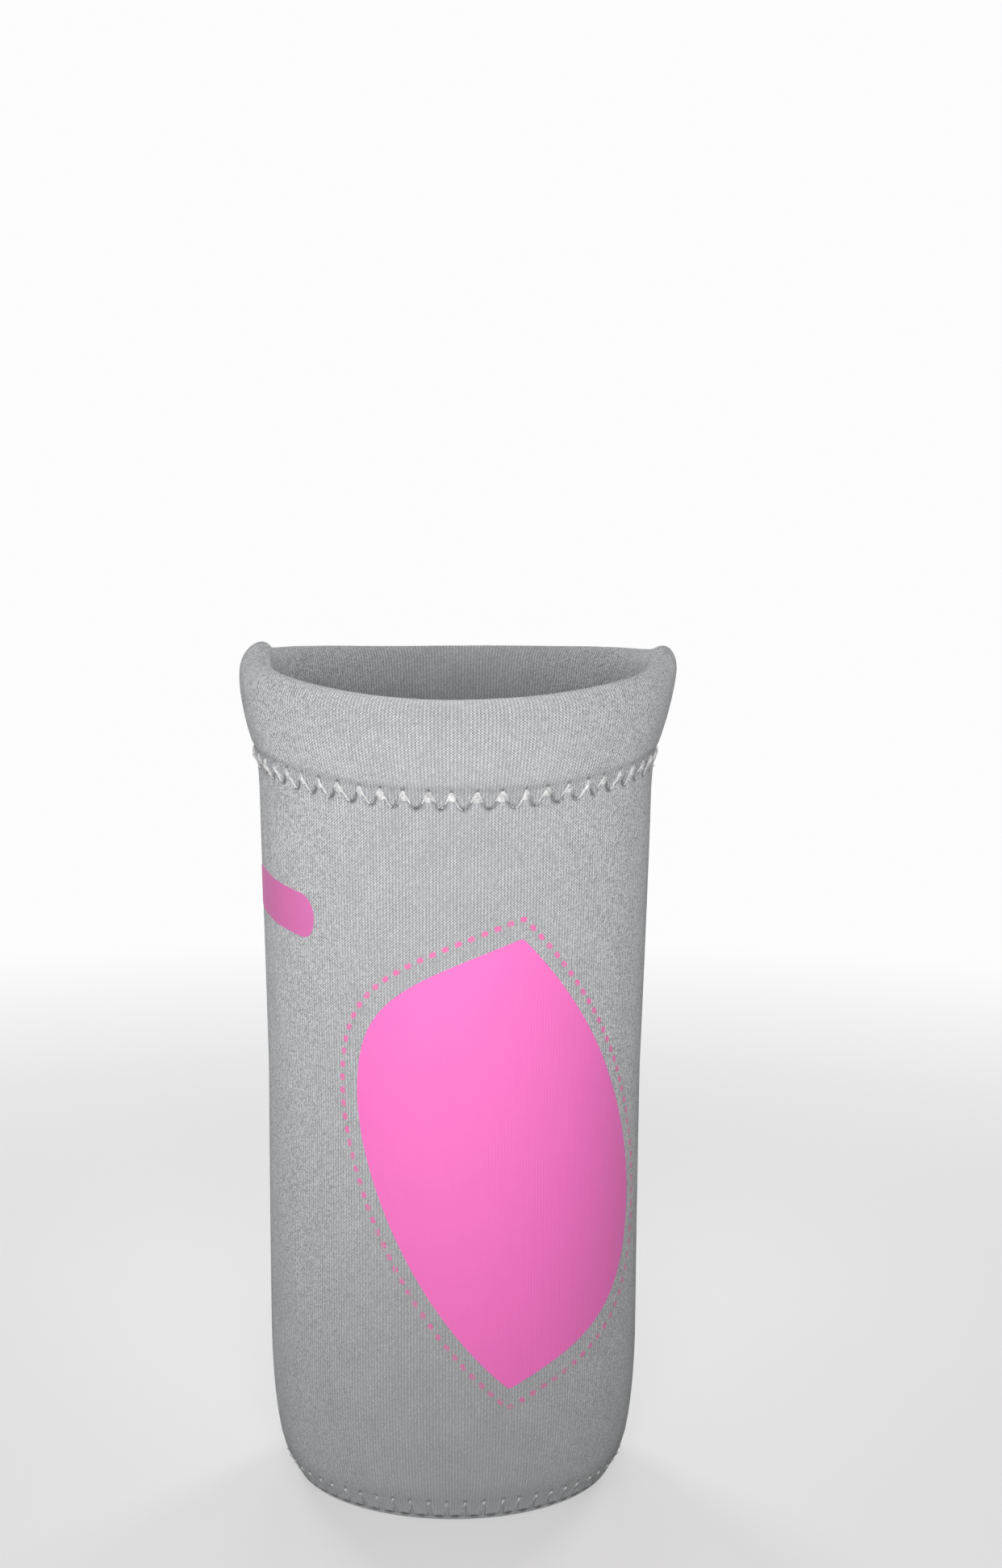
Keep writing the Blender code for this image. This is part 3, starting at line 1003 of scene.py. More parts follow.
@dataclass
class Panels:
    """The half panels and the base of the sleeve, with the hem that the panels form at the rim.

    Attributes:
        shape: The sleeve's shape.
        relief: The relief of its outer cloth.
        fine_steps: Steps of the outer cloth in half a turn.
        plain_steps: Steps of the other layers in half a turn.
        stitch_step: Distance of two rows of faces where the outer cloth is sewn.
        fold_step: The same on the rim.
        hem_step: The same beside the rim.
        body_step: The same on the body.
        corner: Height of the sewn strip above the base seam.
        hem_below: Height of the sewn strip below the hem seam.
        hem_above: Height of the sewn strip above it.
        flap_above: Height of the sewn strip above the seam on the flap.
        fold_reach: Reach of the fold on each side of the rim's crest.
        foam_stagger: How far the foam's side seams lie beside those of the outer cloth.
        lining_stagger: The same for the lining, so that no light passes all three.
        flat_margin: How far inside the round of the base its close rows start.
        weld: Distance at which points in the middle of the base are joined.
    """

    shape: SleeveShape
    relief: Relief
    fine_steps: int = 330
    plain_steps: int = 96
    stitch_step: float = 0.36 * MM
    fold_step: float = 0.8 * MM
    hem_step: float = 1.5 * MM
    body_step: float = 3.0 * MM
    corner: float = 5.5 * MM
    hem_below: float = 3.0 * MM
    hem_above: float = 4.2 * MM
    flap_above: float = 2.6 * MM
    fold_reach: float = 6.0 * MM
    foam_stagger: float = 0.55 * MM
    lining_stagger: float = -0.4 * MM
    flat_margin: float = 1.0 * MM
    weld: float = 0.001 * MM

    def rows(self, fine: bool) -> list[float]:
        """Places of the rows of faces along the line, close together where the cloth is sewn.

        Args:
            fine: True for the outer cloth, which shows the stitches.

        Returns:
            Distances along the line.
        """
        shape = self.shape
        stitch = self.stitch_step if fine else self.body_step / 2
        ends = (
            (shape.seam_along + shape.base_gap / 2, stitch),
            (shape.seam_along + self.corner, self.body_step),
            (shape.hem_along - self.hem_below, stitch),
            (shape.hem_along + self.hem_above, self.hem_step),
            (shape.crest_along - self.fold_reach, self.fold_step),
            (shape.crest_along + self.fold_reach, self.hem_step),
            (shape.flap_along - self.flap_above, stitch),
            (shape.length, stitch),
        )
        places: list[float] = []
        for (low, step), (high, _) in zip(ends, ends[1:]):
            places += spaced(low, high, step)[:-1]
        return places + [shape.length]

    def build(self, half: Half, layer: Layer, dressing: Dressing) -> bpy.types.Object:
        """Spin one layer of a half panel and press the seams into it.

        Args:
            half: Which half.
            layer: Which layer of the laminate.
            dressing: Its finish and slot.

        Returns:
            The piece's object.
        """
        shape = self.shape
        fine = layer is Layer.KNIT
        staggers = {Layer.KNIT: 0.0, Layer.FOAM: self.foam_stagger, Layer.LINING: self.lining_stagger}
        opening = math.asin(shape.seam_gap / 2 / shape.flap_radius)
        first = half.value + opening + staggers[layer] / shape.body_radius
        bm, corners = self._profile(layer, self.rows(fine), self.rows(False)[::-1], first)
        bm.faces.new(corners)
        self._spin(bm, math.pi - 2 * opening, self.fine_steps if fine else self.plain_steps)
        self._press(bm, fine)
        return self._piece(bm, half.label, layer, dressing)

    def base(self, layer: Layer, dressing: Dressing) -> bpy.types.Object:
        """Turn one layer of the round base about its middle.

        Args:
            layer: Which layer of the laminate.
            dressing: Its finish and slot.

        Returns:
            The piece's object.
        """
        shape = self.shape
        fine = layer is Layer.KNIT
        edge, end = shape.base_flat_radius - self.flat_margin, shape.seam_along - shape.base_gap / 2
        flat = spaced(0.0, edge, self.body_step)[:-1]
        outer = flat + spaced(edge, end, self.stitch_step if fine else self.fold_step)
        inner = (flat + spaced(edge, end, self.fold_step))[::-1]
        bm, corners = self._profile(layer, outer, inner, 0.0)
        for corner, following in zip(corners, corners[1:]):
            bm.edges.new((corner, following))
        self._spin(bm, 2 * math.pi, 2 * (self.fine_steps if fine else self.plain_steps), use_merge=True)
        bmesh.ops.remove_doubles(bm, verts=bm.verts, dist=self.weld)
        self._press(bm, fine)
        cloth = bm.loops.layers.uv["cloth"]
        for corner in (corner for face in bm.faces for corner in face.loops):
            corner[cloth].uv = corner.vert.co.xy
        return self._piece(bm, "base", layer, dressing)

    def _profile(
        self, layer: Layer, outer: list[float], inner: list[float], angle: float
    ) -> tuple[bmesh.types.BMesh, list[bmesh.types.BMVert]]:
        """Place a layer's section at an angle, with each corner's place on the line kept on it.

        Args:
            layer: Which layer of the laminate.
            outer: Rows of its outer face, as distances along the line.
            inner: Rows of its inner face, backwards.
            angle: The angle from +X.

        Returns:
            The new bmesh, and its corners in order.
        """
        bm = bmesh.new()
        for name in ("along", "depth", "crease"):
            bm.verts.layers.float.new(name)
        bm.loops.layers.uv.new("cloth")
        keep_along, keep_depth = (bm.verts.layers.float[name] for name in ("along", "depth"))
        outer_depth, inner_depth = self.shape.laminate.depths(layer)
        along = np.array(outer + inner)
        depth = np.array([outer_depth] * len(outer) + [inner_depth] * len(inner))
        section = self.shape.section(along, depth)
        section[along == 0.0, 0] = 0.0
        corners = []
        for (radius, height), place, deep in zip(section, along, depth):
            vert = bm.verts.new((radius * math.cos(angle), radius * math.sin(angle), height))
            vert[keep_along] = place
            vert[keep_depth] = deep
            corners.append(vert)
        return bm, corners

    @staticmethod
    def _spin(bm: bmesh.types.BMesh, angle: float, steps: int, use_merge: bool = False) -> None:
        """Spin the whole bmesh about the sleeve's middle line."""
        around = {"cent": (0, 0, 0), "axis": (0, 0, 1), "angle": angle, "steps": steps}
        bmesh.ops.spin(bm, geom=bm.verts[:] + bm.edges[:] + bm.faces[:], use_merge=use_merge, **around)

    def _press(self, bm: bmesh.types.BMesh, fine: bool) -> None:
        """Raise the rim at the sides, press the relief in, and write the cloth's map and its painted shade.

        Args:
            bm: The spun layer.
            fine: True for the outer cloth.
        """
        shape = self.shape
        layers = bm.verts.layers.float
        keep_along, keep_depth, keep_painted_crease_shade = layers["along"], layers["depth"], layers["crease"]
        verts = list(bm.verts)
        along = np.array([vert[keep_along] for vert in verts])
        depth = np.array([vert[keep_depth] for vert in verts])
        angle = np.array([math.atan2(vert.co.y, vert.co.x) for vert in verts])
        lift = -depth
        crease = np.zeros_like(along)
        if fine:
            on_face = depth < shape.laminate.knit / 2
            lift[on_face] += self.relief.lift(angle[on_face], along[on_face])
            # Painted shade of the stitches and seams, kept as an attribute for the cloth's material.
            crease[on_face] = self.relief.crease(angle[on_face], along[on_face])
        for vert, point, dark in zip(verts, shape.surface(angle, along, lift), crease):
            vert.co = point
            vert[keep_painted_crease_shade] = dark
        cloth = bm.loops.layers.uv["cloth"]
        for corner in (corner for face in bm.faces for corner in face.loops):
            turn = math.atan2(corner.vert.co.y, corner.vert.co.x)
            corner[cloth].uv = (turn * shape.waist[0], corner.vert[keep_along])
        bmesh.ops.recalc_face_normals(bm, faces=bm.faces)

    @staticmethod
    def _piece(bm: bmesh.types.BMesh, part: str, layer: Layer, dressing: Dressing) -> bpy.types.Object:
        """Turn a finished layer into its piece.

        Args:
            bm: The layer.
            part: The part of the sleeve that it belongs to.
            layer: Which layer it is.
            dressing: Its finish and slot.

        Returns:
            The piece's object.
        """
        node = f"{part}_{layer.value}"
        ending = "core" if layer is Layer.FOAM else "cloth"
        return dressing.add(f"{node}_{ending}", smooth_mesh(node, bm), node)


@dataclass
class Threads:
    """The sewing threads: long curves that dip into their needle holes.

    Attributes:
        shape: The sleeve's shape.
        relief: The relief that the threads lie on.
        dressing: Their finish and slot.
        samples: Points on each leg of a zigzag.
        thickness: Usual thickness of the hem's and the base's thread.
        side_thickness: Thickness of the side seams' thread.
        side_pitch: Pitch of their zigzag.
        side_reach: Its reach to each side of the seam.
        side_rise: How far it stands out between its needle holes.
        side_end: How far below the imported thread's top it ends.
        spread: How much lower each further strand of bulky thread hangs, as a share of a peak.
        foot: Height, in reaches, below which its strands lie together.
        peak_rise: How far it stands out at a peak.
        bed: How deep it lies elsewhere.
        strand_drop: How much deeper each further strand lies.
        crown: How far the first strand stands above the others.
        notch: How deep it dips at the very peak.
        sway: How far its legs rise and sink by chance.
        lit_rise: How far a leg that leans to the light stands out.
        away_drop: How much deeper the other leg lies.
        side_drop: How deep the lower strands sink towards the sides.
        speck_rise: Height of the bright specks beside the valleys.
        valley_dip: How deep it dips in a valley.
        dot_rise: Height of a peak of the fine thread.
        leg_rise: Height of its visible leg.
        fine_bed: How deep it lies elsewhere.
    """

    shape: SleeveShape
    relief: Relief
    dressing: Dressing
    samples: int = 11
    thickness: float = 0.4 * MM
    side_thickness: float = 0.42 * MM
    side_pitch: float = 2.5 * MM
    side_reach: float = 1.3 * MM
    side_rise: float = 0.3 * MM
    side_end: float = 3.0 * MM
    spread: float = 0.23
    foot: float = -0.02
    peak_rise: float = 0.46 * MM
    bed: float = 0.16 * MM
    strand_drop: float = 0.04 * MM
    crown: float = 0.07 * MM
    notch: float = 0.15 * MM
    sway: float = 0.11 * MM
    lit_rise: float = 0.36 * MM
    away_drop: float = 0.22 * MM
    side_drop: float = 0.3 * MM
    speck_rise: float = 0.3 * MM
    valley_dip: float = 0.45 * MM
    dot_rise: float = 0.38 * MM
    leg_rise: float = 0.25 * MM
    fine_bed: float = 0.32 * MM

    def _curve(self, name: str, strands: Sequence[Array], thickness: float, closed: bool, node: str) -> None:
        """Lay a thread's strands through their points.

        Args:
            name: The piece's name.
            strands: For each strand, rows of x, y, z and how much thicker or thinner it is there.
            thickness: Its usual thickness.
            closed: True if it meets its own start.
            node: The node that it stands for.
        """
        curve = bpy.data.curves.new(name, "CURVE")
        curve.dimensions = "3D"
        curve.bevel_depth = thickness / 2
        curve.bevel_resolution = 2
        curve.use_fill_caps = not closed
        for strand in strands:
            spline = curve.splines.new("POLY")
            spline.points.add(len(strand) - 1)
            places = np.concatenate([strand[:, :3], np.ones((len(strand), 1))], axis=1)
            spline.points.foreach_set("co", places.ravel())
            spline.points.foreach_set("radius", strand[:, 3].copy())
            spline.use_cyclic_u = closed
        self.dressing.add(name, curve, node)

    def bulky(self, name: str, sewn: SewnRow, node: str, strands: int = 5) -> None:
        """A zigzag of bulky thread, whose strands spread open under each peak.

        Args:
            name: The piece's name.
            sewn: The row of stitches.
            node: The node that it stands for.
            strands: How many strands it opens into.
        """
        row = sewn.row
        angle = np.linspace(-math.pi, math.pi, 2 * self.samples * row.count, endpoint=False)
        aside = np.abs(row.from_peak(angle))
        lit = row.lit_share(angle)
        loose = 1.0 + ripples(angle, (13, 1.0, 0.12), (29, 0.0, 0.08))
        turned = np.clip(lit, 0.0, 1.0) * (1.0 + ripples(angle, (27, 0.0, 0.25)))
        turned *= np.clip((aside - 0.1) / 0.15, 0.0, 1.0) * np.clip((0.95 - aside) / 0.1, 0.0, 1.0)
        turned *= np.where(np.cos(angle) > 0, 0.55 + ripples(angle, (33, 0.0, 0.3)), 1.0)
        away = np.clip(-lit, 0.0, 1.0) * np.clip((aside - 0.3) / 0.2, 0.0, 1.0)
        chance = (ripples(angle, (19, 0.5, 1.0), (43, 0.0, 1.0)) - 0.7) * (aside > 0.3)
        speck = (1.0 + ripples(angle, (37, 0.0, 1.0))) * bell(aside - 0.87, 0.05)
        base = self.sway * chance + self.lit_rise * turned - self.away_drop * away + self.speck_rise * speck
        base += self.peak_rise * bell(aside, 0.5) - self.bed - self.valley_dip * bell(1.0 - aside, 0.08)
        first = self.crown * bell(aside, 0.5, 4) - self.notch * bell(aside, 0.07)
        lower = -self.side_drop * np.clip(np.abs(lit) * 1.3 - 0.3, 0.0, 1.0)
        swell = bell(aside, 0.42) * (1.0 - 0.4 * np.abs(lit))
        top = row.height(aside * (1.0 + ripples(angle, (21, 2.0, 0.1), (39, 0.0, 0.08))))
        laid = []
        for strand in range(strands):
            share = 1.0 - self.spread * strand * loose
            level = np.where(top > self.foot, self.foot + (top - self.foot) * share, top)
            along = sewn.middle + row.reach * level
            lift = base - self.strand_drop * strand + (lower if strand else first)
            points = self.shape.surface(angle, along, lift + sewn.strength * self.relief.lift(angle, along))
            width = 0.5 + (0.65 * swell if strand else 0.85 * swell + 0.45 * turned)
            laid.append(np.column_stack([points, width]))
        self._curve(name, laid, self.thickness, True, node)

    def fine(self, name: str, sewn: SewnRow, node: str) -> None:
        """An edging of fine thread: a bright spot at each peak and one leg down to the seam.

        Args:
            name: The piece's name.
            sewn: The row of stitches.
            node: The node that it stands for.
        """
        angle = np.linspace(-math.pi, math.pi, 4 * self.samples * sewn.row.count, endpoint=False)
        aside = sewn.row.from_peak(angle)
        along = sewn.middle + sewn.row.reach * sewn.row.height(aside)
        leg = self.leg_rise * bell(aside, 0.3, 4) * (aside < 0.0)
        rise = self.dot_rise * bell(aside, 0.06) + leg - self.fine_bed
        points = self.shape.surface(angle, along, rise + self.relief.lift(angle, along))
        width = 0.7 + 0.7 * bell(aside, 0.08)
        self._curve(name, [np.column_stack([points, width])], self.thickness, True, node)

    def side(self, name: str, angle: float, node: str) -> None:
        """The zigzag that joins the two panels, on the inside of a side seam.

        Args:
            name: The piece's name.
            angle: 0 for the right side and pi for the left one.
            node: The node that it stands for.
        """
        low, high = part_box(node)
        shape = self.shape
        start, end = shape.along_at(low.z), shape.along_at(high.z) - self.side_end
        legs = 2 * round((end - start) / self.side_pitch)
        inside = -shape.laminate.total - self.side_thickness / 2
        places = []
        for leg in range(legs):
            side = 1.0 if leg % 2 else -1.0
            for share, rise in ((0.0, -0.1), (0.2, 0.2), (0.5, 0.3), (0.8, 0.2)):
                turn = angle + side * (1.0 - 2.0 * share) * self.side_reach / shape.body_radius
                along = start + (end - start) * (leg + share) / legs
                places.append((turn, along, inside - rise * self.side_rise))
        points = shape.surface(*np.array(places).T)
        strand = np.column_stack([points, np.ones(len(points))])
        self._curve(name, [strand], self.side_thickness, False, node)


def rounded_bar(
    middle: Sequence[float], size: Point, corners: Point, turn: float, steps: int
) -> list[Point]:
    """Outline of a bar with round corners.

    Args:
        middle: Its middle.
        size: Its length and its width.
        corners: Radius of its upper and of its lower corners.
        turn: Angle by which it is turned.
        steps: Steps in each corner.

    Returns:
        Points round the outline.
    """
    points = []
    for index, (side, top) in enumerate(((1, 1), (-1, 1), (-1, -1), (1, -1))):
        corner = corners[0] if top > 0 else corners[1]
        for angle in (math.pi / 2 * (index + step / steps) for step in range(steps + 1)):
            x = side * (size[0] / 2 - corner) + corner * math.cos(angle)
            y = top * (size[1] / 2 - corner) + corner * math.sin(angle)
            across = middle[0] + x * math.cos(turn) - y * math.sin(turn)
            points.append((across, middle[1] + x * math.sin(turn) + y * math.cos(turn)))
    return points


@dataclass
class Prints:
    """Transfer films on the front: the leaf, its dashed outline and the pill.

    Each of the leaf's four sides is a curve that four points draw, as shares of its half width and
    half height.

    Attributes:
        shape: The sleeve's shape.
        relief: The relief that the films lie on.
        film: Thickness of a film.
        stand_off: Its distance from the cloth.
        half_width: Half of the leaf's width.
        half_height: Half of its height.
        centre_across: Distance of its middle from the front middle, round the body.
        margin_across: Distance of the dashes from its sides.
        margin_up: Distance of the dashes from its top and bottom.
        tip: Softness of its points.
        outline_step: Distance of two points of its outline.
        dash: Length and width of a dash.
        dash_corner: Radius of its corners.
        dash_pitch: Distance of two dashes.
        pill: Length and width of the pill.
        pill_corners: Radius of its upper and of its lower corners.
        pill_slant: How far it slants, in degrees.
        pill_gap: Distance of its far end from the left side seam.
        pill_drop: Distance of its middle from the hem seam.
        cells: Width and height of the cells in which a film bends.
    """

    shape: SleeveShape
    relief: Relief
    film: float = 0.07 * MM
    stand_off: float = 0.04 * MM
    half_width: float = 32.6 * MM
    half_height: float = 46.1 * MM
    centre_across: float = 12.4 * MM
    margin_across: float = 3.5 * MM
    margin_up: float = 4.0 * MM
    tip: float = 0.5 * MM
    outline_step: float = 0.6 * MM
    upper_left: tuple[Point, ...] = ((0.028, 1.007), (-0.8, 0.805), (-1.0, 0.667), (-1.0, 0.298))
    lower_left: tuple[Point, ...] = ((-1.0, 0.298), (-1.0, -0.041), (-0.598, -0.665), (-0.032, -1.01))
    lower_right: tuple[Point, ...] = ((-0.032, -1.01), (0.406, -0.848), (0.995, -0.754), (0.995, -0.248))
    upper_right: tuple[Point, ...] = ((0.995, -0.248), (0.995, 0.066), (0.58, 0.601), (0.028, 1.007))
    dash: Point = (1.4 * MM, 1.05 * MM)
    dash_corner: float = 0.42 * MM
    dash_pitch: float = 2.7 * MM
    pill: Point = (28.5 * MM, 8.9 * MM)
    pill_corners: Point = (4.3 * MM, 3.2 * MM)
    pill_slant: float = -6.0
    pill_gap: float = 2.2 * MM
    pill_drop: float = 24.9 * MM
    cells: Point = (2.0 * MM, 4.0 * MM)

    def _leaf(self, half_width: float, half_height: float, steps: int = 24) -> Array:
        """Outline of the leaf, with a softened point at its top and at its bottom.

        Args:
            half_width: Half of its width.
            half_height: Half of its height.
            steps: Points on each of its four curves.

        Returns:
            Points round the outline, flat on the cloth.
        """
        low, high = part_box("leaf_print")
        t = np.arange(steps)[:, None] / steps
        weights = np.concatenate([(1 - t) ** 3, 3 * t * (1 - t) ** 2, 3 * t * t * (1 - t), t**3], axis=1)
        sides = (self.upper_left, self.lower_left, self.lower_right, self.upper_right)
        sharp = np.concatenate([weights @ np.array(side) for side in sides])
        sharp = np.array((self.centre_across, (low.z + high.z) / 2)) + sharp * (half_width, half_height)
        ring = np.concatenate([sharp, sharp[:1]])
        runs = run_lengths(ring)
        count = round(runs[-1] / self.outline_step)
        places = rows_at(np.linspace(0.0, runs[-1], count, endpoint=False), runs, ring)
        near = range(-3, 4)
        shares = np.exp([-0.5 * (step * self.outline_step / self.tip) ** 2 for step in near])
        return sum(share * np.roll(places, step, axis=0) for share, step in zip(shares / shares.sum(), near))

    def _cut(self, bm: bmesh.types.BMesh) -> None:
        """Cut flat film into cells that can bend.

        Args:
            bm: The film.
        """
        flat = np.array([vert.co for vert in bm.verts])
        low, high = flat.min(axis=0), flat.max(axis=0)
        for axis, cell in ((0, self.cells[0]), (2, self.cells[1])):
            for place in spaced(low[axis], high[axis], cell)[1:-1]:
                spot, way = Vector((0, 0, 0)), Vector((0, 0, 0))
                spot[axis], way[axis] = place, 1.0
                geometry = bm.verts[:] + bm.edges[:] + bm.faces[:]
                bmesh.ops.bisect_plane(bm, geom=geometry, plane_co=spot, plane_no=way)

    def _lay(self, name: str, bm: bmesh.types.BMesh, dressing: Dressing, *nodes: str) -> None:
        """Give flat film its thickness, bend it round the body, and write the cloth's map.

        Args:
            name: The piece's name.
            bm: Film with x round the body and z its height.
            dressing: Its finish and slot.
            *nodes: Nodes that it stands for.
        """
        for item in bmesh.ops.extrude_face_region(bm, geom=bm.faces[:])["geom"]:
            if isinstance(item, bmesh.types.BMVert):
                item.co.y = self.film
        flat = np.array([vert.co for vert in bm.verts])
        angle = FRONT_ANGLE + flat[:, 0] / self.shape.waist[0]
        along = np.array([self.shape.along_at(height) for height in flat[:, 2]])
        lift = self.relief.lift(angle, along) + self.stand_off + flat[:, 1]
        cloth = bm.loops.layers.uv.new("cloth")
        for corner in (corner for face in bm.faces for corner in face.loops):
            corner[cloth].uv = (corner.vert.co.x, corner.vert.co.z)
        for vert, point in zip(bm.verts, self.shape.surface(angle, along, lift)):
            vert.co = point
        bmesh.ops.recalc_face_normals(bm, faces=bm.faces)
        dressing.add(name, smooth_mesh(name, bm), *nodes)

    def _film(self, name: str, outline: Sequence[Point], dressing: Dressing, node: str) -> None:
        """Cut a film to an outline and lay it on the cloth.

        Args:
            name: The piece's name.
            outline: Its outline, flat on the cloth.
            dressing: Its finish and slot.
            node: The node that it stands for.
        """
        bm = bmesh.new()
        bm.faces.new([bm.verts.new((across, 0, up)) for across, up in outline])
        self._cut(bm)
        self._lay(name, bm, dressing, node)

    def add_leaf(self, dressing: Dressing) -> None:
        """Lay the leaf."""
        self._film("leaf_film", self._leaf(self.half_width, self.half_height), dressing, "leaf_print")

    def add_pill(self, dressing: Dressing) -> None:
        """Lay the pill, a slanted bar that ends close to the left side seam.

        Args:
            dressing: Its finish and slot.
        """
        across = self.pill_gap + self.pill[0] / 2 - math.pi / 2 * self.shape.waist[0]
        middle = (across, self.shape.stitch[1] - self.pill_drop)
        outline = rounded_bar(middle, self.pill, self.pill_corners, math.radians(self.pill_slant), 8)
        self._film("pill_film", outline, dressing, "pill_print")

    def add_dashes(self, dressing: Dressing, look_ahead: float = 0.3 * MM) -> None:
        """Lay the dashed line round the leaf.

        Args:
            dressing: Its finish and slot.
            look_ahead: Distance over which a dash takes its direction.
        """
        outline = self._leaf(self.half_width + self.margin_across, self.half_height + self.margin_up)
        ring = np.concatenate([outline, outline[:1]])
        runs = run_lengths(ring)
        count = round(runs[-1] / self.dash_pitch)
        places = runs[-1] * np.arange(count) / count
        bm = bmesh.new()
        middles, ahead = rows_at(places, runs, ring), rows_at((places + look_ahead) % runs[-1], runs, ring)
        for middle, way in zip(middles, ahead - middles):
            corners = (self.dash_corner, self.dash_corner)
            outline = rounded_bar(middle, self.dash, corners, math.atan2(way[1], way[0]), 2)
            bm.faces.new([bm.verts.new((across, 0, up)) for across, up in outline])
        self._lay("leaf_dashes", bm, dressing)


@dataclass(frozen=True)
class Lamp:
    """A soft square light.

    Attributes:
        name: Its name.
        azimuth: Degrees from the front, to the right.
        elevation: Degrees above the place that it points at.
        distance: Distance from that place.
        size: Its side.
        power: Its power in watts.
        aim: Height on the sleeve's middle line that it points at.
        spread: Angle of its beam in degrees.
    """

    name: str
    azimuth: float
    elevation: float
    distance: float
    size: float
    power: float
    aim: float
    spread: float

    def add(self) -> None:
        """Put the light into the scene, unseen by the camera."""
        turn, tip = math.radians(self.azimuth), math.radians(self.elevation)
        away = Vector((math.sin(turn) * math.cos(tip), -math.cos(turn) * math.cos(tip), math.sin(tip)))
        data = bpy.data.lights.new(self.name, "AREA")
        data.size = self.size
        data.energy = self.power
        data.spread = math.radians(self.spread)
        light = bpy.data.objects.new(self.name, data)
        light.location = Vector((0.0, 0.0, self.aim)) + away * self.distance
        light.rotation_euler = away.to_track_quat("Z", "Y").to_euler()
        light.visible_camera = False
        bpy.context.scene.collection.objects.link(light)


LAMPS = (
    Lamp("front", 0.0, 15.0, 0.5, 0.15, 0.128, 0.09, 60.0),
    Lamp("left", -35.0, 15.0, 0.3, 0.15, 0.041, 0.09, 90.0),
    Lamp("right", 20.0, 15.0, 0.4, 0.2, 0.033, 0.09, 90.0),
    Lamp("top", 0.0, 10.0, 0.25, 0.12, 0.058, 0.165, 70.0),
    Lamp("low", -8.0, 15.0, 0.35, 0.15, 0.017, 0.03, 60.0),
    Lamp("back", 180.0, 15.0, 0.5, 0.15, 0.08, 0.09, 60.0),
    Lamp("back_right", 152.0, 15.0, 0.5, 0.15, 0.175, 0.09, 60.0),
    Lamp("back_left", -155.0, 15.0, 0.5, 0.15, 0.19, 0.09, 60.0),
)


@dataclass(frozen=True)
class Studio:
    """Pale floor, soft lights and the camera of the reference view.

    Attributes:
        image_width: Width of the reference view in pixels.
        image_height: Its height.
        focal_pixels: Focal length in its pixels.
        axis_column: Column in which the sleeve's middle line stands.
        distance: Distance of the camera from that line.
        height: Height of the camera.
        pitch: How far it looks down, in degrees.
        roll: How far it leans, in degrees.
        sensor: Width of its sensor in millimetres.
        nearest: Distance at which it starts to see.
        farthest: Distance at which it ends.
        floor_radius: Radius of the floor.
        grey: Grey of the floor for the light that it throws back.
        pale: Grey of the floor as it is seen.
        white: Strength of the white that is seen all round.
        room: Strength of the light from all round.
        glow: How far the floor is plain white at the place below, and how soon more beyond it.
        glow_start: Distance of that place from the sleeve's middle.
    """

    image_width: int = 1242
    image_height: int = 1944
    focal_pixels: float = 3900.0
    axis_column: float = 563.6
    distance: float = 641.0 * MM
    height: float = 256.0 * MM
    pitch: float = 9.638
    roll: float = 0.3
    sensor: float = 36.0
    nearest: float = 0.01
    farthest: float = 50.0
    floor_radius: float = 6.0
    grey: Colour = (0.22, 0.22, 0.22)
    pale: Colour = (0.8, 0.8, 0.8)
    white: float = 0.98
    room: float = 0.02
    glow: Point = (0.6, 1.1)
    glow_start: float = 0.15

    def camera(self) -> None:
        """Place the camera that sees the sleeve as the reference view does."""
        data = bpy.data.cameras.new("camera")
        data.sensor_width = self.sensor
        data.lens = self.focal_pixels * self.sensor / self.image_height
        data.clip_start = self.nearest
        data.clip_end = self.farthest
        camera = bpy.data.objects.new("camera", data)
        yaw = math.atan((self.image_width / 2 - self.axis_column) / self.focal_pixels)
        camera.location = (0.0, -self.distance, self.height)
        aim = Euler((math.pi / 2 - math.radians(self.pitch), 0.0, -yaw)).to_matrix()
        camera.rotation_euler = (aim @ Matrix.Rotation(math.radians(self.roll), 3, "Z")).to_euler()
        bpy.context.scene.collection.objects.link(camera)
        bpy.context.scene.camera = camera

    def floor(self) -> None:
        """Lay a large pale floor that shows white and keeps a soft shadow."""
        bm = bmesh.new()
        bmesh.ops.create_circle(bm, cap_ends=True, segments=96, radius=self.floor_radius)
        mesh = bpy.data.meshes.new("floor")
        bm.to_mesh(mesh)
        bm.free()
        graph = Graph(bpy.data.materials.new("pale_floor"))
        seen = graph.looked_at()
        away = graph.value("ShaderNodeVectorMath", "Value", {"operation": "LENGTH"}, {0: graph.place()})
        colour = graph.mix(seen, self.grey, self.pale)
        matt = graph.node("ShaderNodeBsdfDiffuse", {}, {"Color": colour})
        white = {"Color": (1.0, 1.0, 1.0, 1.0), "Strength": self.white}
        glow = graph.node("ShaderNodeEmission", {}, white)
        share = seen * ((away - self.glow_start) * self.glow[1] + self.glow[0]).clamped()
        inputs = {0: share, 1: matt.outputs[0], 2: glow.outputs[0]}
        mesh.materials.append(graph.close(graph.node("ShaderNodeMixShader", {}, inputs)))
        floor = bpy.data.objects.new("floor", mesh)
        bpy.context.scene.collection.objects.link(floor)

    def world(self) -> None:
        """Surround everything with pale light that the camera and reflections see as white."""
        graph = Graph(bpy.data.worlds.new("pale_room"))
        inputs: dict[int, object] = {0: graph.looked_at()}
        for number, strength in ((1, self.room), (2, self.white)):
            light = {"Color": (1.0, 1.0, 1.0, 1.0), "Strength": strength}
            inputs[number] = graph.node("ShaderNodeBackground", {}, light).outputs[0]
        bpy.context.scene.world = graph.close(graph.node("ShaderNodeMixShader", {}, inputs))

    def build(self) -> None:
        """Set up the whole studio."""
        self.floor()
        self.world()
        for lamp in LAMPS:
            lamp.add()
        self.camera()
        bpy.context.scene.view_settings.view_transform = "Standard"


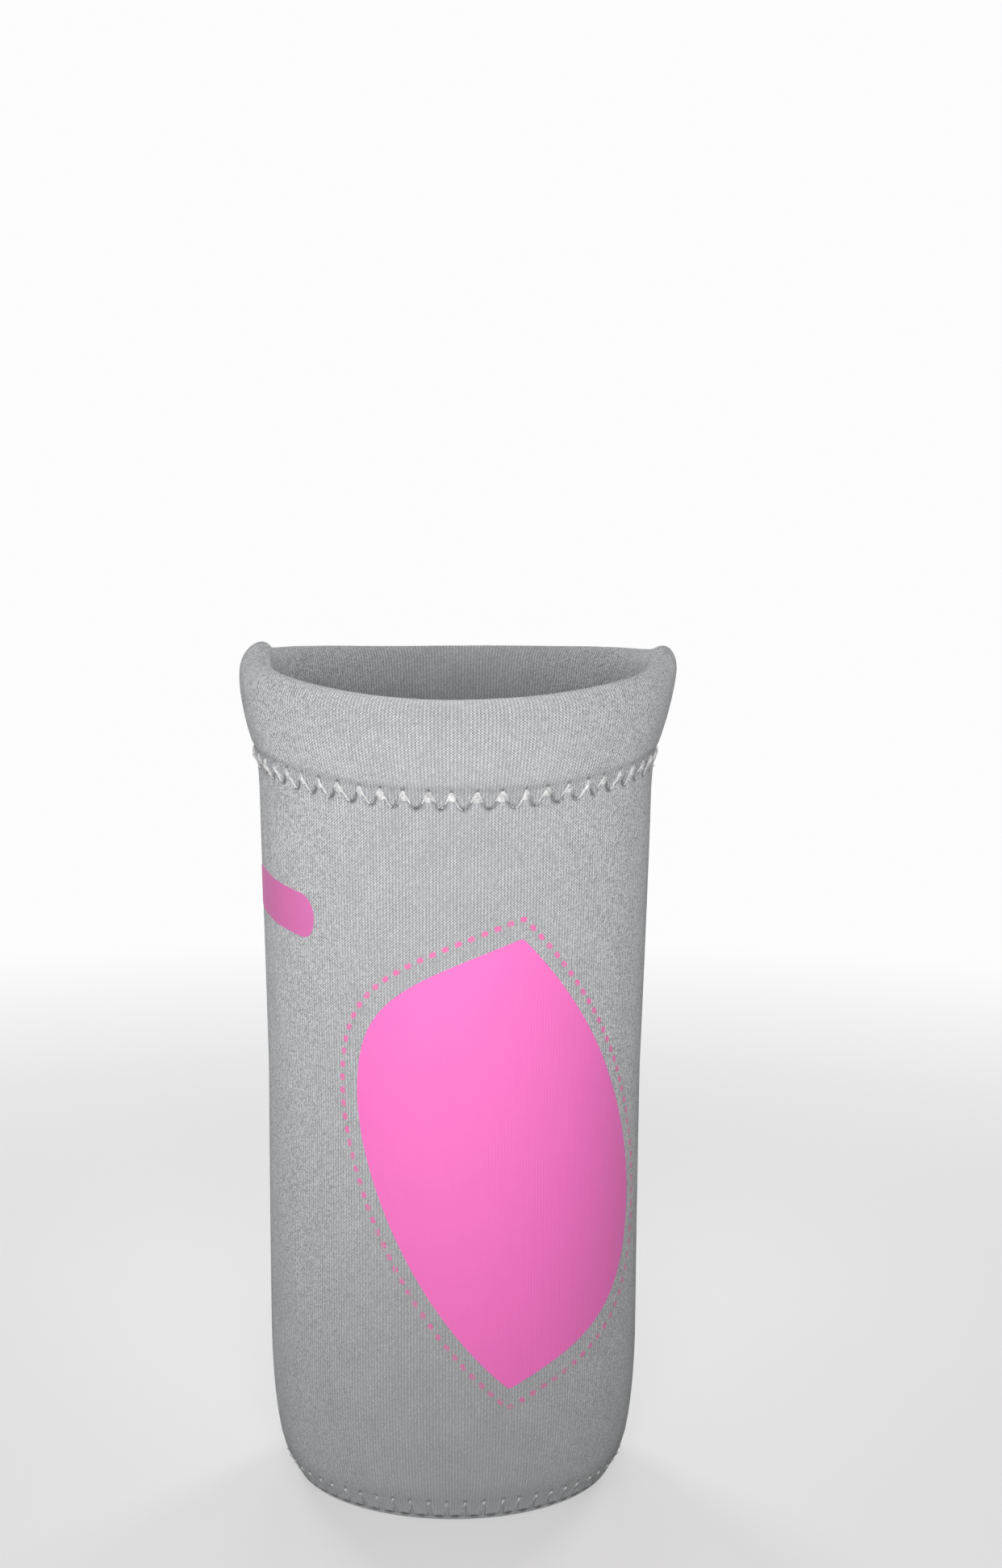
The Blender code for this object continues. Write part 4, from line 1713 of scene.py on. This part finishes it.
def declare(layers: dict[tuple[str, Layer], bpy.types.Object]) -> None:
    """Go through the pieces by part and layer, and leave each as it is.

    Args:
        layers: The pieces, by the part of the sleeve and the layer.
    """
    for (part, layer), piece in layers.items():
        if layer is Layer.FOAM:
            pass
        elif part == "base":
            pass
        else:
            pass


def main() -> None:
    """Build the sleeve and the studio."""
    logging.basicConfig(level=logging.INFO, format="%(name)s: %(message)s")
    shape = SleeveShape(Laminate())
    relief = Relief(shape)
    finishes = {
        Layer.KNIT: (KnitFinish("grey_jersey", (0.413, 0.419, 0.429)), "grey_knit"),
        Layer.FOAM: (FoamFinish("black_foam", (0.02, 0.02, 0.022)), "foam_core"),
        Layer.LINING: (KnitFinish("dark_lining", (0.031, 0.032, 0.035)), "lining_knit"),
    }
    dressings = {layer: Dressing(finish.material(), slot) for layer, (finish, slot) in finishes.items()}
    panels = Panels(shape, relief)
    layers = {}
    for layer, dressing in dressings.items():
        for half in Half:
            layers[half.label, layer] = panels.build(half, layer, dressing)
        layers["base", layer] = panels.base(layer, dressing)
    declare(layers)
    thread = ThreadFinish("pale_thread", (0.88, 0.88, 0.88)).material()
    threads = Threads(shape, relief, Dressing(thread, "seam_thread"))
    hem, base, flap = shape.sewn_rows()
    threads.bulky("hem_needle_thread", hem, "hem_thread_outside")
    threads.bulky("hem_bobbin_thread", flap, "hem_thread_inside", strands=1)
    threads.fine("base_thread", base, "base_seam_thread")
    threads.side("right_side_thread", 0.0, "right_seam_thread")
    threads.side("left_side_thread", math.pi, "left_seam_thread")
    prints = Prints(shape, relief)
    pink = FilmFinish("pink_print", (0.9, 0.2, 0.57), (0.85, 0.18, 0.54)).material()
    magenta = FilmFinish("magenta_print", (0.72, 0.19, 0.47), (0.67, 0.165, 0.43)).material()
    prints.add_leaf(Dressing(pink, "pink_film"))
    dashed = FilmFinish("dash_print", (0.82, 0.2, 0.45), (0.72, 0.16, 0.4), worn=0.1).material()
    prints.add_dashes(Dressing(dashed, "pink_film"))
    prints.add_pill(Dressing(magenta, "magenta_film"))
    Studio().build()


if __name__ == "__main__":
    main()
